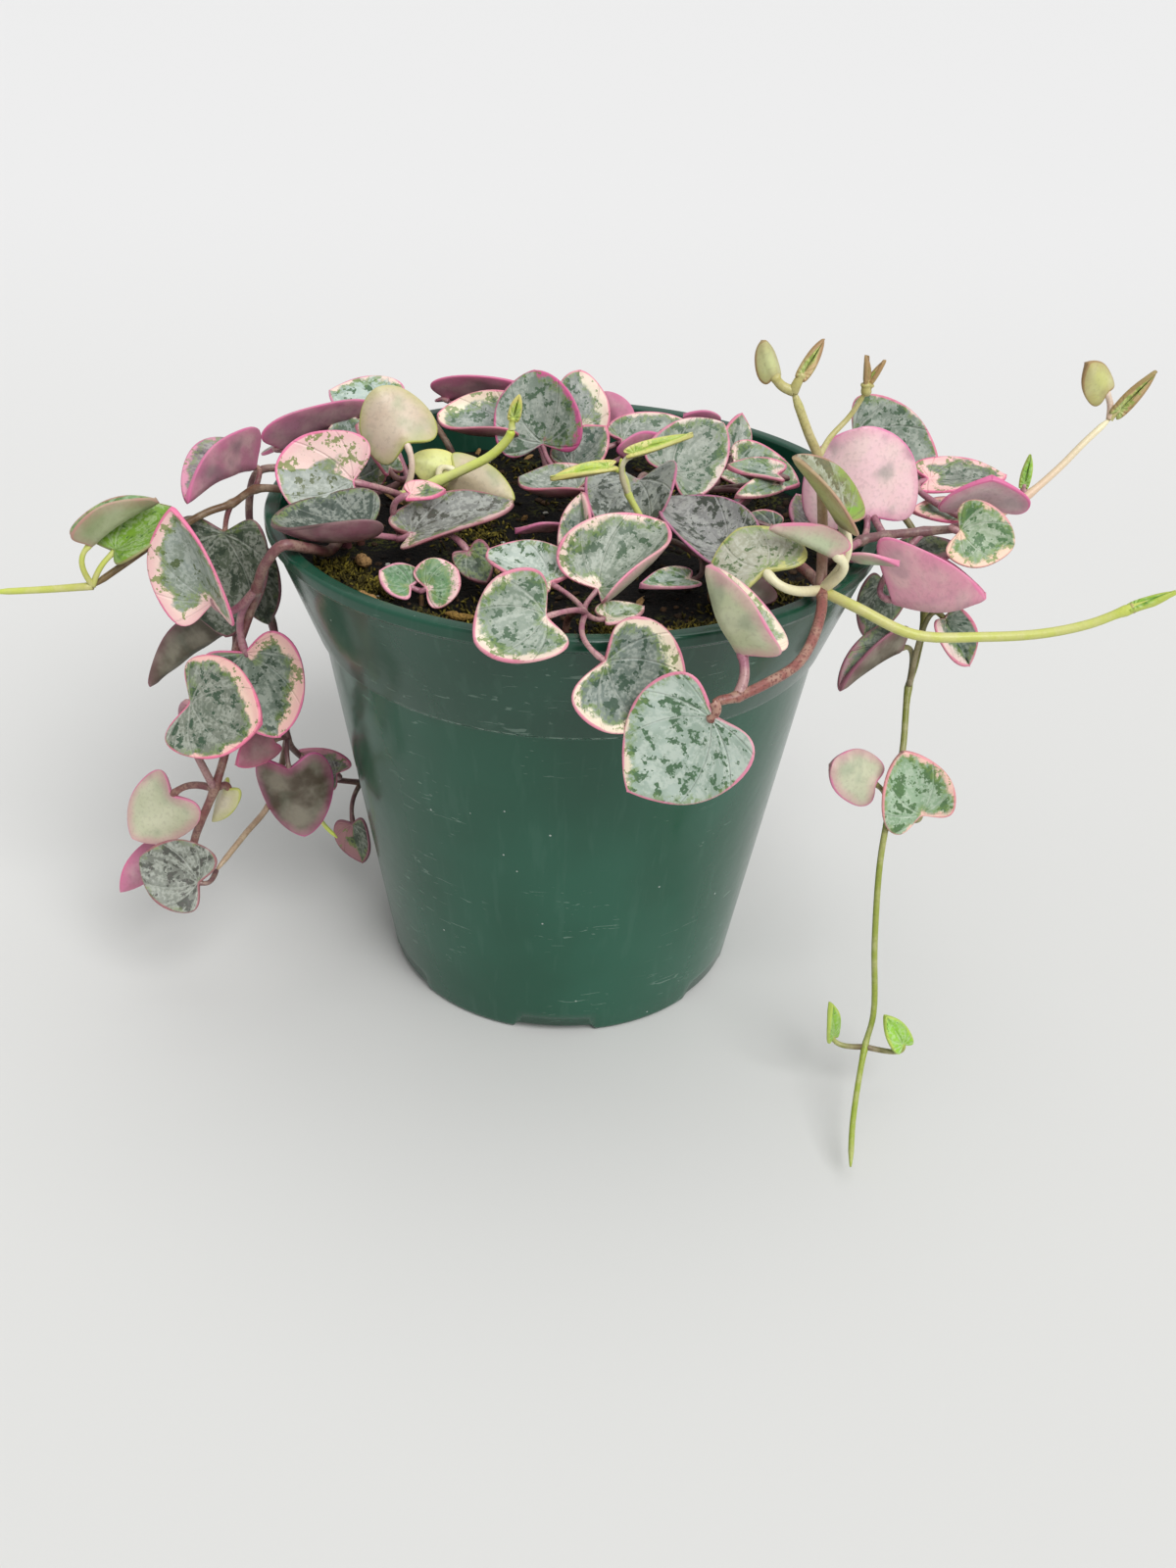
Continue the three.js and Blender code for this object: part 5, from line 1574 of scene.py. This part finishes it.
@dataclass(frozen=True)
class NurseryPot:
    """The round plastic pot: a tapered body, a collar, a rolled rim and slots at the foot.

    Attributes:
        height: Its height, like all its sizes in millimetres.
        rim_radius: Radius outside the rim.
        rim_width: Width of the rim's top.
        bead: Height of the rim's bead.
        collar_foot: Height of the collar's lower end.
        collar_radius: Radius there.
        body_radius: Radius of the body just under the collar.
        base_radius: Radius at the foot.
        drop: How far below the collar's foot the body ends.
        wall: Thickness of the wall.
        floor: Thickness of the floor.
        slots: Number of slots at the foot.
        slot_width: Width of a slot.
        slot_height: Height of a slot.
        slot_reach: How far a slot runs in from the edge of the foot.
        oval: How far the pot is out of round, as a share.
        around: Points around it.
    """

    height: float = 94.0
    rim_radius: float = 54.0
    rim_width: float = 2.7
    bead: float = 2.0
    collar_foot: float = 72.5
    collar_radius: float = 46.2
    body_radius: float = 45.2
    base_radius: float = 34.0
    drop: float = 0.8
    wall: float = 1.3
    floor: float = 1.5
    slots: int = 6
    slot_width: float = 14.5
    slot_height: float = 1.8
    slot_reach: float = 5.0
    oval: float = 0.0012
    around: int = 216

    def outline(self) -> np.ndarray:
        """Give the section from under the middle, up outside, over the rim and down inside.

        Straight stretches are lines between corners, and each corner of the rim, the collar's
        foot and the base is a small arc.

        Returns:
            Radius and height of each point.
        """
        step = self.collar_foot - self.drop
        top, brim = self.height, self.rim_radius
        inner = brim - self.rim_width
        corners: list[tuple[float, float, float]] = [
            (0.6, 0.0, 0.0), (self.base_radius - self.slot_reach, 0.0, 0.0),
            (self.base_radius, 0.0, 1.2),
            (self.body_radius, step, 0.35), (self.collar_radius, self.collar_foot, 0.3),
            (brim - 0.9, top - self.bead - 0.7, 0.25), (brim, top - self.bead, 0.35),
            (brim, top, 0.75), (inner, top, 0.7), (inner - 0.25, top - self.bead - 0.6, 0.5),
            (self.collar_radius - self.wall, self.collar_foot + 1.0, 0.4),
            (self.body_radius - self.wall, step - 1.0, 0.4),
            (self.base_radius - self.wall, self.floor, 0.6), (0.6, self.floor, 0.0),
        ]
        points: list[np.ndarray] = []
        for number, (r, z, bend) in enumerate(corners):
            here = np.array([r, z])
            if bend == 0.0:
                points.append(here)
                continue
            back = unit(np.array(corners[number - 1][:2]) - here)
            ahead = unit(np.array(corners[number + 1][:2]) - here)
            s = np.linspace(0.0, 1.0, 7)[:, None]
            points += list(here + bend * ((1 - s)**2 * back + s**2 * ahead))
        line = [points[0]]
        for here in points[1:]:
            pieces = max(1, int(np.linalg.norm(here - line[-1]) // 4.0))
            line += list(line[-1] + (here - line[-1]) * np.linspace(0, 1, pieces + 1)[1:, None])
        return np.array(line)

    def build(self, plastic: Material) -> None:
        """Turn the outline about the axis, and lift the foot over each slot.

        Args:
            plastic: The pot's material.
        """
        outline = self.outline()
        turn = full_turn(self.around)
        radius, height = outline[:, :1], outline[:, 1:]
        pitch = 2.0 * np.pi / self.slots
        off = (turn + np.pi / 2.0 + pitch / 2.0) % pitch - pitch / 2.0
        half = self.slot_width / 2
        inside_slot = 1.0 - ease(np.abs(off) * self.base_radius, half - 0.5, half + 0.5)
        low = (height < self.slot_height) & (radius > self.base_radius - self.slot_reach - 0.5)
        foot = np.where(low & (np.arange(len(outline))[:, None] < len(outline) // 2),
                        self.slot_height - height, 0.0) * inside_slot[None, :]
        reach = radius * (1.0 + self.oval * np.sin(2.0 * turn + 0.6))
        places = np.stack([reach * np.cos(turn), reach * np.sin(turn), height + foot], axis=-1)
        make_piece("pot_moulded", [Skin(places)], [plastic], "pot")


@dataclass(frozen=True)
class PottingMix:
    """The potting mix, with crumbs, bark, grit and moss on its surface.

    Attributes:
        level: Mean height of its surface in millimetres.
        relief: Height of its mounds in millimetres.
        edge: Radius of its surface in millimetres.
        wall: Radius and height of its side, from under the middle to the surface.
        crumbs: Number of crumbs.
        splinters: Number of small splinters of bark.
        grains: Number of white grains.
        blades: Number of draws for the blades of the moss.
        crumb: The darkest and the brownest crumb.
        bark: Colour of the splinters.
        grain: Colour of the grains.
        moss_tones: The darkest and the lightest moss.
        bits_seed: Seed of the loose bits.
        moss_seed: Seed of the moss.
    """

    level: float = 86.0
    relief: float = 0.7
    edge: float = 49.0
    wall: tuple[tuple[float, float], ...] = (
        (0.5, 1.9), (32.0, 1.9), (43.4, 70.6), (44.3, 73.5), (48.9, 85.0))
    crumbs: int = 900
    splinters: int = 26
    grains: int = 34
    blades: int = 5200
    crumb: tuple[Rgb, Rgb] = ((16, 13, 11), (84, 62, 42))
    bark: Rgb = (178, 140, 92)
    grain: Rgb = (226, 224, 214)
    moss_tones: tuple[Rgb, Rgb] = ((60, 54, 20), (194, 176, 70))
    bits_seed: int = 11
    moss_seed: int = 23

    def surface(self, x: np.ndarray, y: np.ndarray) -> np.ndarray:
        """Give the height of the mix: two broad mounds, two ripples and fine crumb.

        Args:
            x: Places along X in millimetres.
            y: Places along Y in millimetres.

        Returns:
            The height at each place.
        """
        broad = np.sin(0.21 * x + 1.0) * np.cos(0.17 * y) + 0.6 * np.sin(0.09 * x - 0.13 * y)
        fine = (np.sin(1.3 * x + 0.7 * y) * np.sin(1.1 * y - 0.5 * x + 2.0)
                + 0.6 * np.sin(2.7 * x - 1.9 * y + 1.0) * np.sin(2.3 * y + 1.6 * x))
        return self.level + self.relief * broad + 0.22 * fine

    def body(self) -> Skin:
        """Make the mix as rings: over the floor, up the wall and in to the middle of the top.

        Returns:
            The closed body.
        """
        wall = np.array(self.wall)
        turn = full_turn(120)
        radius = np.concatenate([wall[:, 0], np.linspace(self.edge, 0.5, 56)])[:, None]
        x, y = radius * np.cos(turn), radius * np.sin(turn)
        height = self.surface(x, y)
        height[:len(wall)] = wall[:, 1:]
        return Skin(np.stack([x, y, height], axis=-1))

    def lump(self, centre: np.ndarray, size: np.ndarray, tint: np.ndarray,
             chance: np.random.Generator) -> Skin:
        """Make a small uneven lump: a ball of rings with its radius varied at random.

        Args:
            centre: Middle of the lump in millimetres.
            size: Half its length along three directions.
            tint: Its colour.
            chance: Source of the unevenness.

        Returns:
            The lump, turned at random.
        """
        rings, sides = 5, 7
        polar = np.linspace(0.2, np.pi - 0.2, rings)[:, None]
        turn = full_turn(sides)
        ball = np.stack([np.sin(polar) * np.cos(turn), np.sin(polar) * np.sin(turn),
                         np.cos(polar) * np.ones_like(turn)], axis=-1)
        ball = ball * chance.uniform(0.72, 1.15, (rings, sides))[..., None] * size
        spin = np.linalg.qr(chance.normal(size=(3, 3)))[0]
        places = (ball @ spin.T) * (1.0, 1.0, 0.45) + centre
        return Skin(places, {"tint": np.broadcast_to(tint, (rings, sides, 4))})

    def spots(self, count: int, chance: np.random.Generator) -> np.ndarray:
        """Draw places spread evenly over the top of the mix.

        Args:
            count: Number of places.
            chance: Source of the places.

        Returns:
            Points on the surface, shaped (count, 3).
        """
        radius = (self.edge - 1.2) * np.sqrt(chance.uniform(0.0, 1.0, count))
        turn = chance.uniform(0.0, 2.0 * np.pi, count)
        x, y = radius * np.cos(turn), radius * np.sin(turn)
        return np.stack([x, y, self.surface(x, y)], axis=-1)

    def bits(self) -> list[Skin]:
        """Make the crumbs, splinters, white grains and bark chips.

        Returns:
            One skin for each.
        """
        chance = np.random.default_rng(self.bits_seed)
        dark, brown = map(linear, self.crumb)
        skins = []
        for spot in self.spots(self.crumbs, chance):
            size = chance.uniform(0.25, 1.0) ** 1.5 * chance.uniform(0.7, 1.3, 3) * 1.1
            tone = dark + (brown - dark) * chance.uniform() ** 2
            skins.append(self.lump(spot, size, tone, chance))
        for spot in self.spots(self.splinters, chance):
            size = np.array([chance.uniform(1.2, 3.0), chance.uniform(0.5, 0.9), 0.35])
            skins.append(self.lump(spot + (0, 0, 0.4), size, linear(self.bark), chance))
        for spot in self.spots(self.grains, chance):
            size = np.full(3, chance.uniform(0.25, 0.6))
            skins.append(self.lump(spot + (0, 0, 0.3), size, linear(self.grain), chance))
        for chip in CHIPS:
            skins.append(self.chip(chip, chance))
        return skins

    def chip(self, chip: Chip, chance: np.random.Generator) -> Skin:
        """Make one bark chip as a rough rod between two points.

        Args:
            chip: Its ends, thickness and colour.
            chance: Source of its roughness.

        Returns:
            The chip with its tint.
        """
        ends = np.array([chip.start, chip.end], float)
        s = np.linspace(0.0, 1.0, 14)
        path = ends[0] + s[:, None] * (ends[1] - ends[0])
        path[:, :2] += 0.25 * np.sin(s * 7.0 + chip.thick)[:, None]
        size = chip.thick * np.sqrt(np.clip(4.5 * s * (1.0 - s), 0.08, 1.0))
        places = tube(path, size, 10)
        rough = chance.uniform(0.72, 1.2, places.shape[:2])[..., None]
        places = path[:, None] + (places - path[:, None]) * rough
        tint = np.broadcast_to(linear(chip.colour), (*places.shape[:2], 4))
        return Skin(places, {"tint": tint})

    def moss(self) -> list[Skin]:
        """Make moss as tufts of short three-sided leaves around chosen places.

        Returns:
            One skin for each leaf.
        """
        chance = np.random.default_rng(self.moss_seed)
        dark, light = map(linear, self.moss_tones)
        centres = np.array(MOSS_PATCHES, float)
        skins = []
        for _ in range(self.blades):
            patch = centres[chance.integers(len(centres))]
            off = chance.normal(size=2)
            x, y = patch[:2] + off * patch[2]
            if np.hypot(x, y) > self.edge - 0.8:
                continue
            mound = 1.2 * np.exp(-float(off @ off)) * abs(np.sin(1.1 * x) * np.cos(0.9 * y))
            foot = np.array([x, y, self.surface(np.array(x), np.array(y)) - 0.1 + mound])
            lean = unit(chance.normal(size=3) * (1.0, 1.0, 0.35) + (0.0, 0.0, 0.9))
            path = foot + np.linspace(0.0, 1.0, 3)[:, None] * lean * chance.uniform(0.6, 1.7)
            places = tube(path, np.array([0.2, 0.28, 0.05]), 3)
            tone = dark + (light - dark) * chance.uniform() ** 1.8 * (0.4 + 0.5 * mound)
            skins.append(Skin(places, {"tint": np.broadcast_to(tone, (3, 3, 4))}))
        return skins

    def build(self, mix: Material, bit: Material) -> None:
        """Make the mix and what lies on it.

        Args:
            mix: Material of the mix.
            bit: Material of the loose bits.
        """
        make_piece("mix_body", [self.body()], [mix], "soil")
        make_piece("mix_bits", self.bits(), [bit], "soil")
        make_piece("mix_moss", self.moss(), [bit], "soil")


# ---- Studio -------------------------------------------------------------------------------


@dataclass(frozen=True)
class Studio:
    """The camera, the pale floor and the soft light.

    Attributes:
        target: What the camera looks at, in millimetres.
        distance: From the target to the camera in millimetres.
        elevation: Angle of the camera above the floor in degrees.
        roll: Turn of the camera about its own view in degrees.
        lens: Focal length in millimetres.
        sensor: Width of the sensor in millimetres.
        floor_radius: Radius of the floor in millimetres.
        key: Heading, strength and spread in degrees of the main light.
        top: The same of the light from above.
        sky: Strength of the white sky.
    """

    target: Point = (4.466, 0.0, 34.72)
    distance: float = 309.14
    elevation: float = 32.43
    roll: float = 2.433
    lens: float = 36.0
    sensor: float = 36.0
    floor_radius: float = 4000.0
    key: tuple[Point, float, float] = ((-7.5, 12.0, -15.0), 2.3, 36.0)
    top: tuple[Point, float, float] = ((-0.12, -0.2, -1.0), 0.7, 50.0)
    sky: float = 0.51

    def camera(self) -> None:
        """Make the camera from its target, distance and three angles."""
        height, roll = np.radians(self.elevation), np.radians(self.roll)
        back = np.array([0.0, -np.cos(height), np.sin(height)])
        level = np.array([1.0, 0.0, 0.0])
        upright = np.array([0.0, np.sin(height), np.cos(height)])
        right = np.cos(roll) * level + np.sin(roll) * upright
        up = -np.sin(roll) * level + np.cos(roll) * upright
        data = bpy.data.cameras.new("camera")
        data.lens, data.sensor_width, data.sensor_fit = self.lens, self.sensor, "AUTO"
        data.clip_start, data.clip_end = 0.01, 20.0
        camera = new_object("camera", data)
        place = (np.array(self.target) + back * self.distance) * MM
        turned = Matrix([right, up, back]).transposed().to_4x4()
        camera.matrix_world = Matrix.Translation(Vector(place)) @ turned
        bpy.context.scene.camera = camera

    def floor(self) -> None:
        """Lay the floor as one wide disc with its face up."""
        corners = 64
        turn = full_turn(corners)
        ring = np.stack([np.cos(turn), np.sin(turn), np.zeros(corners)], axis=-1)
        mesh = bpy.data.meshes.new("floor")
        mesh.from_pydata((ring * self.floor_radius * MM).tolist(), [], [list(range(corners))])
        mesh.materials.append(FloorFinish().make())
        floor = new_object("floor", mesh)

    def lights(self) -> None:
        """Light softly from above, more narrowly from the front right, and from a white sky."""
        for name, (heading, strength, spread) in (("key", self.key), ("top", self.top)):
            data = bpy.data.lights.new(name, "SUN")
            data.energy, data.angle = strength, np.radians(spread)
            lamp = new_object(name, data)
            lamp.rotation_euler = Vector(heading).to_track_quat("-Z", "Y").to_euler()
        world = bpy.data.worlds.new("studio")
        world.use_nodes = True
        sky = world.node_tree.nodes["Background"]
        sky.inputs["Color"].default_value = (1.0, 1.0, 1.0, 1.0)
        sky.inputs["Strength"].default_value = self.sky
        bpy.context.scene.world = world
        bpy.context.scene.view_settings.view_transform = "Standard"

    def build(self) -> None:
        """Set up everything that isn't part of the plant."""
        self.camera()
        self.floor()
        self.lights()


def main() -> None:
    """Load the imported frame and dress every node."""
    logging.basicConfig(level=logging.INFO, format="%(name)s: %(message)s")
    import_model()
    Studio().build()
    NurseryPot().build(PlasticFinish().make())
    PottingMix().build(MixFinish().make(), BitFinish().make())
    leaf_face, stem_skin = LeafFinish().make(), StemFinish().make()
    for vine in VINES:
        HeartVine(vine).build(leaf_face, stem_skin)


if __name__ == "__main__":
    main()
